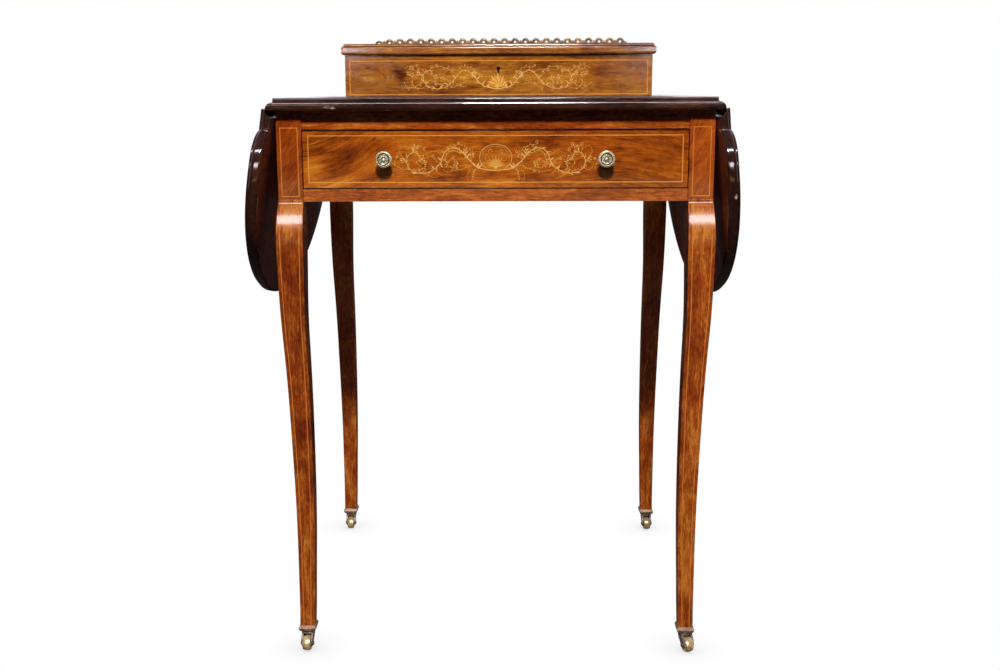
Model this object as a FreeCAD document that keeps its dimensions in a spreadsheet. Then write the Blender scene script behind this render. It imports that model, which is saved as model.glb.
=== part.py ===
# Bonheur du jour: a small writing table with one drawer, two rule-jointed drop leaves,
# a lidded box with a brass gallery at the back of the top, and square cabriole legs on casters.
# Units are millimetres. +Z is up, the front faces -Y, and the origin is on the floor below
# the middle of the table.
import FreeCAD, Part
import math
import os
import re

os.makedirs("parts", exist_ok=True)
V = FreeCAD.Vector
doc = FreeCAD.newDocument("bonheur_du_jour")

# ---------------------------------------------------------------- driving dimensions
PARAMS = [
    # table frame
    ("apron_w", 531.0), ("apron_d", 474.0), ("block_w", 30.5), ("apron_low", 595.0),
    ("top_under", 704.7), ("top_face", 720.0), ("top_half_d", 254.0), ("rail_set", 3.4),
    ("rail_deep", 22.0), ("low_rail_top", 610.1), ("up_rail_low", 682.2), ("side_rail_out", 250.0),
    ("back_rail_t", 15.6), ("tenon_len", 12.0),
    # rule joint and leaves
    ("pin_x", 265.8), ("pin_z", 706.0), ("ovolo_r", 9.0), ("cove_gap", 0.4), ("leaf_t", 15.0),
    ("leaf_tab", 22.4), ("leaf_mid", 80.0), ("leaf_half", 293.0), ("leaf_drop", 259.0),
    ("swing_left", 81.4), ("swing_right", 84.9), ("hinge_y", 165.0), ("hinge_half", 15.0), ("knuckle_rad", 2.8),
    ("pin_rad", 1.2), ("plate_t", 1.4), ("rest_left", 271.8), ("rest_right", 268.8),
    # drawer
    ("dr_half", 234.25), ("dr_low", 611.0), ("dr_high", 681.3), ("dr_front_t", 18.0),
    ("dr_side_t", 8.0), ("dr_side_low", 610.4), ("dr_side_high", 681.0), ("dr_back_y", 195.0),
    ("dr_bottom_z", 616.0), ("dr_bottom_t", 5.0), ("knob_x", 134.0), ("knob_z", 647.0),
    ("spindle_rad", 3.0),
    # writing surface
    ("panel_half", 222.0), ("panel_front", 232.0), ("panel_rear", 40.0), ("panel_t", 2.0),
    # box on the top
    ("box_half", 211.0), ("box_front_y", 22.0), ("box_back_y", 235.0), ("box_high", 775.6),
    ("box_t", 10.0), ("box_floor", 6.0), ("lid_half", 215.5), ("lid_front", 26.5),
    ("lid_low", 775.9), ("lid_high", 791.0), ("lid_pin_y", 238.0), ("lid_pin_z", 775.75),
    ("lid_hinge_x", 130.0), ("lid_hinge_half", 17.0), ("lid_knuckle", 2.6), ("key_z", 757.5),
    ("key_rad", 2.3),
    ("box_x", 2.9),
    # gallery
    ("gal_half", 201.5), ("gal_y", 218.0), ("gal_t", 2.4), ("gal_pitch", 16.4), ("gal_ring", 5.2),
    ("gal_eye", 2.6), ("gal_ring_z", 802.8), ("gal_count", 24), ("gal_small", 4.2),
    ("gal_small_eye", 1.9), ("gal_small_z", 800.4),
    # casters
    ("foot_z", 34.0), ("swivel_x", 249.6), ("swivel_y", 221.1), ("collar_w", 23.3),
    ("collar_end", 19.4), ("collar_low", 26.0), ("spigot_w", 16.4), ("stem_rad", 3.0),
    ("socket_rad", 3.06), ("tube_rad", 4.5), ("trail", 9.5), ("wheel_rad", 9.8), ("wheel_w", 10.0),
    ("axle_rad", 2.0), ("fork_w", 15.8), ("fork_gap", 10.6),
]
sheet = doc.addObject("Spreadsheet::Sheet", "dims")
for row, (alias, value) in enumerate(PARAMS, 1):
    sheet.set("A%d" % row, alias)
    sheet.set("B%d" % row, str(value))
    sheet.setAlias("B%d" % row, alias)
doc.recompute()
NAMES = [a for a, _ in PARAMS]
WORDS = re.compile(r"\b(" + "|".join(sorted(NAMES, key=len, reverse=True)) + r")\b")


def D(alias):
    return float(sheet.get(alias))


def bind(obj, prop, expr):
    """Ties a property to the sheet, with each alias written by its bare name."""
    obj.setExpression(prop, WORDS.sub(lambda m: "dims." + m.group(1), str(expr)))


# ---------------------------------------------------------------- helpers for solids
def slab(name, x0, x1, y0, y1, z0, z1, sx=1, sy=1):
    """A rectangular board between the given faces; sx or sy of -1 puts it on the other side."""
    b = doc.addObject("Part::Box", name)
    bind(b, "Length", "(%s)-(%s)" % (x1, x0))
    bind(b, "Width", "(%s)-(%s)" % (y1, y0))
    bind(b, "Height", "(%s)-(%s)" % (z1, z0))
    bind(b, "Placement.Base.x", x0 if sx > 0 else "-(%s)" % x1)
    bind(b, "Placement.Base.y", y0 if sy > 0 else "-(%s)" % y1)
    bind(b, "Placement.Base.z", z0)
    return b


TURN = {"x": FreeCAD.Rotation(V(0, 1, 0), 90), "y": FreeCAD.Rotation(V(1, 0, 0), -90),
        "z": FreeCAD.Rotation()}


def rod(name, axis, rad, length, x, y, z):
    """A cylinder that starts at (x, y, z) and runs along +axis."""
    c = doc.addObject("Part::Cylinder", name)
    c.Placement = FreeCAD.Placement(V(0, 0, 0), TURN[axis])
    bind(c, "Radius", rad)
    bind(c, "Height", length)
    for k, e in zip("xyz", (x, y, z)):
        bind(c, "Placement.Base." + k, e)
    return c


def fuse(name, *objs):
    f = doc.addObject("Part::MultiFuse", name)
    f.Shapes = list(objs)
    f.Refine = True
    return f


def cut(name, base, *tools):
    c = doc.addObject("Part::Cut", name)
    c.Base = base
    c.Tool = tools[0] if len(tools) == 1 else fuse(name + "_tools", *tools)
    return c


def group(name, *objs):
    g = doc.addObject("Part::Compound", name)
    g.Links = list(objs)
    return g


def plane(body, role):
    return [o for o in body.Origin.OriginFeatures if o.Role == role][0]


def sketch(body, name, role, lift=None):
    """A sketch on one of the body's own origin planes, lifted along its normal."""
    s = body.newObject("Sketcher::SketchObject", name)
    s.AttachmentSupport = [(plane(body, role), "")]
    s.MapMode = "FlatFace"
    if lift is not None:
        bind(s, "AttachmentOffset.Base.z", lift)
    return s


def trace(sk, start, *steps):
    """Draws a path: ("L", p) a line, ("A", mid, p) an arc, ("S", points) a spline."""
    at = V(start[0], start[1], 0)
    for step in steps:
        if step[0] == "L":
            end = V(step[1][0], step[1][1], 0)
            sk.addGeometry(Part.LineSegment(at, end), False)
        elif step[0] == "A":
            end = V(step[2][0], step[2][1], 0)
            sk.addGeometry(Part.Arc(at, V(step[1][0], step[1][1], 0), end), False)
        else:
            pts = [at] + [V(p[0], p[1], 0) for p in step[1]]
            end = pts[-1]
            curve = Part.BSplineCurve()
            curve.interpolate(pts)
            sk.addGeometry(curve, False)
        at = end


def rect(sk, w, d):
    """A centred rectangle whose width and depth are driven by the sheet."""
    import Sketcher
    a, b = D(w) / 2 if w in NAMES else w / 2, D(d) / 2 if d in NAMES else d / 2
    pts = [V(-a, -b, 0), V(a, -b, 0), V(a, b, 0), V(-a, b, 0)]
    for i in range(4):
        sk.addGeometry(Part.LineSegment(pts[i], pts[(i + 1) % 4]), False)
    C = Sketcher.Constraint
    for i in range(4):
        sk.addConstraint(C("Coincident", i, 2, (i + 1) % 4, 1))
    sk.addConstraint(C("Horizontal", 0))
    sk.addConstraint(C("Horizontal", 2))
    sk.addConstraint(C("Vertical", 1))
    sk.addConstraint(C("Vertical", 3))
    sk.addConstraint(C("Symmetric", 0, 1, 1, 2, -1, 1))
    n = sk.addConstraint(C("DistanceX", 0, 1, 0, 2, 2 * a))
    sk.renameConstraint(n, "wide")
    n2 = sk.addConstraint(C("DistanceY", 1, 1, 1, 2, 2 * b))
    sk.renameConstraint(n2, "deep")
    if w in NAMES:
        bind(sk, "Constraints.wide", w)
    if d in NAMES:
        bind(sk, "Constraints.deep", d)


def pad(body, name, sk, length, symmetric=False, back=False, taper=None):
    p = body.newObject("PartDesign::Pad", name)
    p.Profile = sk
    p.SideType = "Symmetric" if symmetric else "One side"
    p.Reversed = back
    bind(p, "Length", length)
    if taper is not None:
        p.TaperAngle = taper
    return p


def pocket(body, name, sk, length, symmetric=False, back=False):
    doc.recompute()
    before = body.Shape.Volume
    p = body.newObject("PartDesign::Pocket", name)
    p.Profile = sk
    p.SideType = "Symmetric" if symmetric else "One side"
    p.Reversed = back
    bind(p, "Length", length)
    doc.recompute()
    if not body.Shape.Volume < before - 1e-3:
        raise RuntimeError("%s cuts nothing" % name)
    return p


def turned(name, start, *steps):
    """A turned solid: the profile's x is the radius and its y runs along the turning axis."""
    b = doc.addObject("PartDesign::Body", name)
    s = sketch(b, name + "_profile", "XZ_Plane")
    trace(s, start, *steps)
    r = b.newObject("PartDesign::Revolution", name + "_turn")
    r.Profile = s
    r.ReferenceAxis = (s, ["V_Axis"])
    r.Angle = 360
    return b


NODES = []
# the box and all it carries sit a little to the right of the table's middle
ON_BOX = ("box_front", "box_back", "box_side_left", "box_side_right", "box_bottom", "escutcheon",
          "lock_case", "lock_bolt", "lock_link_plate", "box_lid", "lid_hinge_plates",
          "lid_hinge_flaps", "lid_hinge_pins", "gallery")


def node(obj, label):
    if label in ON_BOX:
        if obj.TypeId == "Part::Box":
            inner = obj
            obj = group(label + "_set", inner)
        bind(obj, "Placement.Base.x", "box_x")
    obj.Label = label
    NODES.append(obj)
    return obj


# ---------------------------------------------------------------- legs
# Inward offset of the outer face from the corner block's face, and the thickness, by height.
LEG = [(34, 6.5, 18.9), (60, 6.9, 19.5), (100, 7.1, 20.4), (150, 7.2, 21.8), (200, 6.8, 23.2),
       (250, 5.8, 24.5), (300, 4.4, 25.8), (350, 2.8, 27.0), (400, 0.5, 28.4), (440, -1.7, 29.8),
       (480, -3.1, 31.4), (520, -3.8, 32.9), (552, -3.9, 33.3), (574, -2.8, 32.6), (596, 0.0, 30.5)]


def leg(label, sx, sy, *tenons):
    """A leg and its corner block, sawn to the same curve from two faces. Local origin: the
    block's outer corner, with the leg on the -x, -y side."""
    angle = {(1, 1): 0, (-1, 1): 90, (-1, -1): 180, (1, -1): -90}[(sx, sy)]
    b = doc.addObject("PartDesign::Body", label + "_sawn")
    blk, top = D("block_w"), D("top_under")
    outer = [(-o, z) for z, o, t in LEG]
    inner = [(-(o + t), z) for z, o, t in LEG]
    f = sketch(b, label + "_face", "XZ_Plane")
    trace(f, outer[0], ("S", outer[1:]), ("L", (0, top)), ("L", (-blk, top)),
          ("L", inner[-1]), ("S", inner[-2::-1]), ("L", outer[0]))
    pad(b, label + "_first_cut", f, 100, symmetric=True)
    w = sketch(b, label + "_waste", "YZ_Plane")
    trace(w, outer[0], ("S", outer[1:]), ("L", (0, 715)), ("L", (60, 715)), ("L", (60, 20)),
          ("L", (outer[0][0], 20)), ("L", outer[0]))
    trace(w, inner[0], ("S", inner[1:]), ("L", (-blk, 715)), ("L", (-55, 715)), ("L", (-55, 20)),
          ("L", (inner[0][0], 20)), ("L", inner[0]))
    pocket(b, label + "_second_cut", w, 200, symmetric=True)
    b.Placement = FreeCAD.Placement(V(0, 0, 0), FreeCAD.Rotation(V(0, 0, 1), angle))
    bind(b, "Placement.Base.x", "%d*apron_w/2" % sx)
    bind(b, "Placement.Base.y", "%d*apron_d/2" % sy)
    # spigot that the caster's collar slips over
    s = slab(label + "_spigot", "swivel_x-spigot_w/2", "swivel_x+spigot_w/2",
             "swivel_y-spigot_w/2", "swivel_y+spigot_w/2", "collar_low+2", "foot_z", sx, sy)
    hole = rod(label + "_bore", "z", "tube_rad", 30, "%d*swivel_x" % sx, "%d*swivel_y" % sy,
               "collar_low+2")
    return node(cut(label + "_cut", fuse(label + "_body", b, s), hole, *tenons), label)


def front_tenons(tag, sx, low, high):
    return slab(tag, "apron_w/2-block_w", "apron_w/2-block_w+tenon_len", "223", "231", low, high,
                sx, -1)


def side_tenon(tag, sx, sy):
    return slab(tag, 238, 247, "apron_d/2-block_w", "apron_d/2-block_w+15", 600, 700, sx, sy)


def back_tenon(tag, sx):
    return slab(tag, "apron_w/2-block_w", "apron_w/2-block_w+tenon_len", 223, 231, 600, 700, sx, 1)


for sx, side in ((-1, "left"), (1, "right")):
    leg("leg_front_" + side, sx, -1,
        front_tenons("m_fu_" + side, sx, 685, 702), front_tenons("m_fl_" + side, sx, 597, 608),
        side_tenon("m_sf_" + side, sx, -1))
    leg("leg_back_" + side, sx, 1, back_tenon("m_b_" + side, sx), side_tenon("m_sb_" + side, sx, 1))

# ---------------------------------------------------------------- rails
IN = "apron_w/2-block_w"
for label, low, high, t0, t1 in (("front_rail_top", "up_rail_low", "top_under", 685, 702),
                                 ("front_rail_bottom", "apron_low", "low_rail_top", 597, 608)):
    core = slab(label + "_core", "-(%s)" % IN, IN, "-(apron_d/2-rail_set)",
                "-(apron_d/2-rail_set-rail_deep)", low, high)
    node(fuse(label + "_f", core, front_tenons(label + "_tl", -1, t0, t1),
              front_tenons(label + "_tr", 1, t0, t1)), label)
core = slab("back_rail_core", "-(%s)" % IN, IN, "apron_d/2-rail_set-back_rail_t",
            "apron_d/2-rail_set", "apron_low", "top_under")
node(fuse("back_rail_f", core, back_tenon("back_tl", -1), back_tenon("back_tr", 1)), "back_rail")
for sx, side in ((-1, "left"), (1, "right")):
    core = slab("side_core_" + side, IN, "side_rail_out", "-(apron_d/2-block_w)",
                "apron_d/2-block_w", "apron_low", "top_under", sx)
    node(fuse("side_f_" + side, core, side_tenon("side_ta_" + side, sx, -1),
              side_tenon("side_tb_" + side, sx, 1)), "side_rail_" + side)

RUN = ("-(apron_d/2-rail_set-rail_deep)", "apron_d/2-rail_set-back_rail_t")
node(group("runners", *[slab("runner_%d" % s, 215, IN, RUN[0], RUN[1], 598, "low_rail_top", s)
                        for s in (-1, 1)]), "drawer_runners")
node(group("kickers", *[slab("kicker_%d" % s, 215, IN, RUN[0], RUN[1], "up_rail_low", 696, s)
                        for s in (-1, 1)]), "drawer_kickers")
node(group("stops", *[slab("stop_%d" % s, 160, 190, "-215.3", "-212.3", "low_rail_top", 614.5, s)
                      for s in (-1, 1)]), "drawer_stops")

# ---------------------------------------------------------------- table top
HY0, HY1 = "(hinge_y-hinge_half)", "(hinge_y+hinge_half)"


def nose(edge, hi, lo):
    """Points of the moulded front edge in (distance in from the extreme face, z)."""
    return [(5.1, hi), ("A", (4.11, hi - 0.41), (3.7, hi - 1.4)), ("L", (3.7, hi - 2.3)),
            ("L", (4.5, hi - 2.9)), ("L", (3.8, hi - 3.5)),
            ("A", (1.0, hi - 5.4), (0.0, hi - 8.6)), ("L", (0.0, hi - 10.3)),
            ("A", (1.05, hi - 13.7), (4.0, lo))]


def waste(sk, pts, edge, sign, hi, lo):
    """The wood outside a moulded edge, as a closed path. edge is the extreme face's place."""
    def P(p):
        return (sign * (edge - p[0]), p[1])
    steps = []
    for s in pts[1:]:
        steps.append(("L", P(s[1])) if s[0] == "L" else ("A", P(s[1]), P(s[2])))
    steps += [("L", P((pts[-1][-1][0], lo - 3))), ("L", P((-6, lo - 3))), ("L", P((-6, hi + 3))),
              ("L", P((pts[0][0], hi + 3))), ("L", P(pts[0]))]
    trace(sk, P(pts[0]), *steps)


top = doc.addObject("PartDesign::Body", "top_body")
px, pz, orad, face, under = D("pin_x"), D("pin_z"), D("ovolo_r"), D("top_face"), D("top_under")
ex = math.sqrt(orad ** 2 - (pz - under) ** 2)
r45 = orad * math.sqrt(0.5)
s = sketch(top, "top_section", "XZ_Plane")
trace(s, (-px, face), ("L", (px, face)), ("L", (px, pz + orad)),
      ("A", (px + r45, pz + r45), (px + ex, under)), ("L", (-px - ex, under)),
      ("A", (-px - r45, pz + r45), (-px, pz + orad)), ("L", (-px, face)))
pad(top, "top_board", s, "2*top_half_d", symmetric=True)
s = sketch(top, "top_edge", "YZ_Plane")
for sg in (-1, 1):
    waste(s, nose(0, face, under), D("top_half_d"), sg, face, under)
pocket(top, "top_edge_cut", s, 700, symmetric=True)
tools = [slab("panel_bed", "-panel_half", "panel_half", "-panel_front", "-panel_rear",
              "top_face-panel_t", "top_face+1")]
for sx in (-1, 1):
    for sy in (-1, 1):
        t = "%d%d" % (sx, sy)
        tools.append(slab("gain_a" + t, 251, "pin_x", HY0, HY1, "top_under-1", "top_under+plate_t",
                          sx, sy))
        tools.append(slab("gain_b" + t, 262, 277, HY0 + "-0.5", HY1 + "+0.5", "top_under-1",
                          "pin_z+1.3", sx, sy))
        tools.append(rod("gain_c" + t, "y", "knuckle_rad+0.5", "2*hinge_half+1", "%d*pin_x" % sx,
                         "%d*hinge_y-hinge_half-0.5" % sy, "pin_z"))
node(cut("top_cut", top, *tools), "table_top")
node(slab("panel", "-panel_half", "panel_half", "-panel_front", "-panel_rear",
          "top_face-panel_t", "top_face"), "writing_panel")

# ---------------------------------------------------------------- leaf hinges
plates = []
pins = []
for sx in (-1, 1):
    for sy in (-1, 1):
        t = "%d%d" % (sx, sy)
        p = slab("hp_a" + t, 251, 262.6, HY0, HY1, "top_under", "top_under+plate_t", sx, sy)
        c = slab("hp_b" + t, 262.6, "pin_x", "hinge_y-7.3", "hinge_y+7.3", "top_under+0.1",
                 "top_under+plate_t", sx, sy)
        k = rod("hp_c" + t, "y", "knuckle_rad", 14.6, "%d*pin_x" % sx, "%d*hinge_y-7.3" % sy, "pin_z")
        h = rod("hp_d" + t, "y", "pin_rad", 14.6, "%d*pin_x" % sx, "%d*hinge_y-7.3" % sy, "pin_z")
        plates.append(cut("hp" + t, fuse("hp_f" + t, p, c, k), h))
        pins.append(rod("hpin" + t, "y", "pin_rad", "2*hinge_half", "%d*pin_x" % sx,
                        "%d*hinge_y-hinge_half" % sy, "pin_z"))
node(group("leaf_plates", *plates), "leaf_hinge_plates")
node(group("leaf_pins", *pins), "leaf_hinge_pins")

# ---------------------------------------------------------------- drop leaves
# Local frame: x runs out along the leaf from the hinge pin, z is its upper side.


def ellipse_y(x):
    a = D("leaf_drop") - D("leaf_mid")
    return D("leaf_half") * math.sqrt(max(0.0, 1 - ((x - D("leaf_mid")) / a) ** 2))


def leaf(side, sx):
    tab, half, deep, drop = D("leaf_tab"), D("top_half_d"), D("leaf_half"), D("leaf_drop")
    lower = -(pz - (face - D("leaf_t")))
    shoulder = [(tab, half), (tab + 2.2, half + 8.5), (tab + 6.0, half + 17.0),
                (tab + 11.8, half + 25.0), (tab + 22.0, half + 33.0), (tab + 37.0, half + 37.8),
                (80, deep)]
    bow = [(x, ellipse_y(x)) for x in (110, 140, 165, 188, 208, 225, 239, 249, 255, 258.2)]
    one = [(x, -y) for x, y in shoulder + bow] + [(drop, 0)]
    other = [(x, y) for x, y in (shoulder + bow)[::-1]]
    b = doc.addObject("PartDesign::Body", "leaf_body_" + side)
    s = sketch(b, "leaf_plan_" + side, "XY_Plane", str(lower))
    trace(s, (0.4, -half), ("L", one[0]), ("S", one[1:] + other), ("L", (0.4, half)),
          ("L", (0.4, -half)))
    pad(b, "leaf_board_" + side, s, "leaf_t")
    c = sketch(b, "leaf_cove_" + side, "XZ_Plane")
    r = D("ovolo_r") + D("cove_gap")
    c.addGeometry(Part.Circle(V(0, 0, 0), V(0, 0, 1), r), False)
    pocket(b, "leaf_cove_cut_" + side, c, 700, symmetric=True)
    g = sketch(b, "leaf_gain_" + side, "XY_Plane", str(lower))
    y0, y1 = D("hinge_y") - D("hinge_half"), D("hinge_y") + D("hinge_half")
    for sg in (-1, 1):
        trace(g, (6, sg * y0), ("L", (31.5, sg * y0)), ("L", (31.5, sg * y1)), ("L", (6, sg * y1)),
              ("L", (6, sg * y0)))
    pocket(b, "leaf_gain_cut_" + side, g, "plate_t", back=True)
    turn = FreeCAD.Rotation(V(0, 1, 0), sx * D("swing_" + side))
    if sx < 0:
        turn = turn.multiply(FreeCAD.Rotation(V(0, 0, 1), 180))
    rest = FreeCAD.Placement(V(sx * px, 0, pz), turn)
    b.Placement = rest
    node(b, "leaf_" + side)
    # the hinge flaps, let into the leaf's underside
    flaps = []
    for sy in (-1, 1):
        t = "%s%d" % (side, sy)
        low, high = str(lower), "%s+plate_t" % lower
        p = slab("flap_a" + t, 3.4, 31.5, HY0, HY1, low, high, 1, sy)
        c1 = slab("flap_b" + t, 0, 3.4, HY0, "hinge_y-7.6", low, high, 1, sy)
        c2 = slab("flap_c" + t, 0, 3.4, "hinge_y+7.6", HY1, low, high, 1, sy)
        k1 = rod("flap_d" + t, "y", "knuckle_rad", "hinge_half-7.6", 0,
                 "%d*hinge_y-hinge_half" % sy, 0)
        k2 = rod("flap_e" + t, "y", "knuckle_rad", "hinge_half-7.6", 0, "%d*hinge_y+7.6" % sy, 0)
        h = rod("flap_h" + t, "y", "pin_rad+0.05", "2*hinge_half", 0,
                "%d*hinge_y-hinge_half" % sy, 0)
        flaps.append(cut("flap" + t, fuse("flap_f" + t, p, c1, c2, k1, k2), h))
    g = group("flaps_" + side, *flaps)
    g.Placement = rest
    node(g, "leaf_hinge_flaps_" + side)


leaf("left", -1)
leaf("right", 1)

# ---------------------------------------------------------------- fly brackets
blocks, arms, bpins = [], [], []
for sx in (-1, 1):
    t = str(sx)
    blk = slab("bb_a" + t, "side_rail_out", 264.6, -112, -8, 640, 704.4, sx)
    up = slab("bb_b" + t, 250.6, 264.6, -8, 0, 684.3, 704.4, sx)
    lo = slab("bb_c" + t, 250.6, 264.6, -8, 0, 640, 664, sx)
    ku = rod("bb_d" + t, "z", 7.0, "704.4-684.3", "%d*257.6" % sx, 0, 684.3)
    kl = rod("bb_e" + t, "z", 7.0, 24, "%d*257.6" % sx, 0, 640)
    rest = slab("bb_f" + t, 264.6, "rest_%s" % ("left" if sx < 0 else "right"), -60, -24, 640, 658, sx)
    hole = rod("bb_g" + t, "z", 2.0, 80, "%d*257.6" % sx, 0, 630)
    blocks.append(cut("bb" + t, fuse("bb_h" + t, blk, up, lo, ku, kl, rest), hole))
    arm = slab("ba_a" + t, 250.6, 264.6, 8.3, 112, 664.3, 704.2, sx)
    con = slab("ba_b" + t, 250.6, 264.6, 0, 8.3, 664.3, 684.0, sx)
    ka = rod("ba_c" + t, "z", 7.0, "684.0-664.3", "%d*257.6" % sx, 0, 664.3)
    grip = rod("ba_d" + t, "x", 16.0, 20, "248" if sx > 0 else "-268", 112, 660)
    hole = rod("ba_e" + t, "z", 2.05, 40, "%d*257.6" % sx, 0, 655)
    arms.append(cut("ba" + t, fuse("ba_f" + t, arm, con, ka), grip, hole))
    bpins.append(rod("bp" + t, "z", 2.0, "704.4-642", "%d*257.6" % sx, 0, 642))
node(group("blocks", *blocks), "bracket_blocks")
node(group("arms", *arms), "bracket_arms")
node(group("bracket_rods", *bpins), "bracket_pins")

# ---------------------------------------------------------------- drawer
FY = "-(apron_d/2-rail_set)"
FB = "(-(apron_d/2-rail_set)+dr_front_t)"
front = slab("df_board", "-dr_half", "dr_half", FY, FB, "dr_low", "dr_high")
tools = [slab("df_groove", "-(dr_half-dr_side_t)", "dr_half-dr_side_t", FB + "-5", FB + "+1",
              "dr_bottom_z", "dr_bottom_z+dr_bottom_t")]
for sx in (-1, 1):
    tools.append(slab("df_lap%d" % sx, "dr_half-dr_side_t", "dr_half+1", FB + "-6", FB + "+1",
                      "dr_low-1", "dr_side_high", sx))
    tools.append(rod("df_hole%d" % sx, "y", "spindle_rad+0.05", 40, "%d*knob_x" % sx, -250, "knob_z"))
node(cut("df", front, *tools), "drawer_front")
for sx, side in ((-1, "left"), (1, "right")):
    b = slab("ds_board" + side, "dr_half-dr_side_t", "dr_half", FB + "-6", "dr_back_y",
             "dr_side_low", "dr_side_high", sx)
    g = slab("ds_groove" + side, "dr_half-dr_side_t-1", "dr_half-dr_side_t/2", FB + "-5",
             "dr_back_y+1", "dr_bottom_z", "dr_bottom_z+dr_bottom_t", sx)
    node(cut("ds" + side, b, g), "drawer_side_" + side)
node(slab("db", "-(dr_half-dr_side_t)", "dr_half-dr_side_t", "dr_back_y-8", "dr_back_y",
          "dr_bottom_z+dr_bottom_t", 676), "drawer_back")
node(fuse("dbot", slab("dbot_a", "-(dr_half-dr_side_t)", "dr_half-dr_side_t", FB + "-5",
                       "dr_back_y", "dr_bottom_z", "dr_bottom_z+dr_bottom_t"),
          slab("dbot_b", "-(dr_half-dr_side_t/2)", "dr_half-dr_side_t/2", FB + "-5",
               "dr_back_y", "dr_bottom_z", "dr_bottom_z+dr_bottom_t")), "drawer_bottom")

# turned knobs: the turning axis points out of the drawer front
for sx, side in ((-1, "left"), (1, "right")):
    k = turned("knob_body_" + side, (0, -23), ("L", (3.0, -23)), ("L", (3.0, 0)), ("L", (7.2, 0)),
               ("L", (7.2, 0.9)), ("A", (6.9, 1.6), (6.2, 1.9)), ("L", (4.6, 2.3)),
               ("S", [(3.6, 4.2), (3.3, 7.0), (3.7, 10.4), (5.2, 13.4), (8.0, 15.6)]),
               ("L", (9.4, 16.2)), ("A", (10.2, 17.6), (9.4, 19.2)), ("L", (8.9, 19.6)),
               ("A", (8.1, 20.2), (7.3, 19.6)), ("L", (6.6, 19.0)), ("L", (5.9, 19.6)),
               ("S", [(4.6, 20.9), (2.6, 21.7), (0, 22.0)]), ("L", (0, -23)))
    k.Placement = FreeCAD.Placement(V(0, 0, 0), FreeCAD.Rotation(V(1, 0, 0), 90))
    bind(k, "Placement.Base.x", "%d*knob_x" % sx)
    bind(k, "Placement.Base.y", FY)
    bind(k, "Placement.Base.z", "knob_z")
    node(k, "knob_" + side)
nuts = []
for sx in (-1, 1):
    n = slab("nut_a%d" % sx, "knob_x-5", "knob_x+5", FB, FB + "+4", "knob_z-5", "knob_z+5", sx)
    h = rod("nut_b%d" % sx, "y", "spindle_rad+0.05", 40, "%d*knob_x" % sx, -240, "knob_z")
    nuts.append(cut("nut%d" % sx, n, h))
node(group("nuts", *nuts), "knob_nuts")

# ---------------------------------------------------------------- box
T, Bf, Bb = "box_t", "-box_front_y", "box_back_y"
Hx0, Hx1 = "(lid_hinge_x-lid_hinge_half)", "(lid_hinge_x+lid_hinge_half)"
key = [rod("key_a", "y", "key_rad+0.5", 30, 0, "-30", "key_z"),
       slab("key_b", -1.5, 1.5, -30, 0, "key_z-6.5", "key_z")]
node(cut("bxf", slab("bxf_a", "-box_half", "box_half", Bf, Bf + "+box_t", "top_face", "box_high"),
         slab("bxf_b", -18.2, 18.2, -19, -11, 746.8, "box_high+1"), *key), "box_front")
node(cut("bxb", slab("bxb_a", "-box_half", "box_half", Bb + "-box_t", Bb, "top_face", "box_high"),
         *[slab("bxb_g%d" % s, Hx0, Hx1, 226, Bb + "+1", "lid_pin_z-1.65", "box_high+1", s)
           for s in (-1, 1)]), "box_back")
for sx, side in ((-1, "left"), (1, "right")):
    node(slab("bxs" + side, "box_half-box_t", "box_half", Bf + "+box_t", Bb + "-box_t",
              "top_face", "box_high", sx), "box_side_" + side)
node(slab("bxbot", "-(box_half-box_t)", "box_half-box_t", Bf + "+box_t", Bb + "-box_t",
          "top_face", "top_face+box_floor"), "box_bottom")

# keyhole liner
liner = fuse("esc_a", rod("esc_b", "y", "key_rad+0.5", 3, 0, "-22.2", "key_z"),
             slab("esc_c", -1.5, 1.5, -22.2, -19.2, "key_z-6.5", "key_z"))
node(cut("esc", liner, rod("esc_d", "y", "key_rad", 8, 0, -25, "key_z"),
         slab("esc_e", -1, 1, -25, -17, "key_z-6", "key_z")), "escutcheon")

# lock: case let into the front board, bolt that slides along X, link plate under the lid
case = slab("lk_a", -18, 18, -19, -10, 747, 775.3)
node(cut("lk", case, slab("lk_b", -15.3, 15.3, -17.6, -11.4, 752, 773.6),
         slab("lk_c", -10.3, -6.9, -17.3, -11.7, 773, 776), slab("lk_d", 7.2, 10.6, -17.3, -11.7, 773, 776),
         rod("lk_e", "y", "key_rad", 4, 0, -20, "key_z"), slab("lk_f", -1, 1, -20, -16, "key_z-5.5", "key_z")),
     "lock_case")
node(fuse("bolt", slab("bt_a", -14.8, 4.1, -16.5, -12.5, 753, 761.5),
          slab("bt_b", -14.8, -13.4, -15.2, -13.8, 761.5, 768.8),
          slab("bt_c", 2.7, 4.1, -15.2, -13.8, 761.5, 768.8),
          slab("bt_d", -13.4, -10.0, -15.2, -13.8, 764.4, 768.8),
          slab("bt_e", 4.1, 7.5, -15.2, -13.8, 764.4, 768.8)), "lock_bolt")
link = fuse("ln_a", slab("ln_b", -15, 15, -19, -10, "lid_low", "lid_low+1.5"),
            slab("ln_c", -9.5, -7.7, -16.5, -12.5, 762, "lid_low"),
            slab("ln_d", 8.0, 9.8, -16.5, -12.5, 762, "lid_low"))
node(cut("ln", link, slab("ln_e", -12, 12, -15.6, -13.4, 764, 769.2)), "lock_link_plate")

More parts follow.
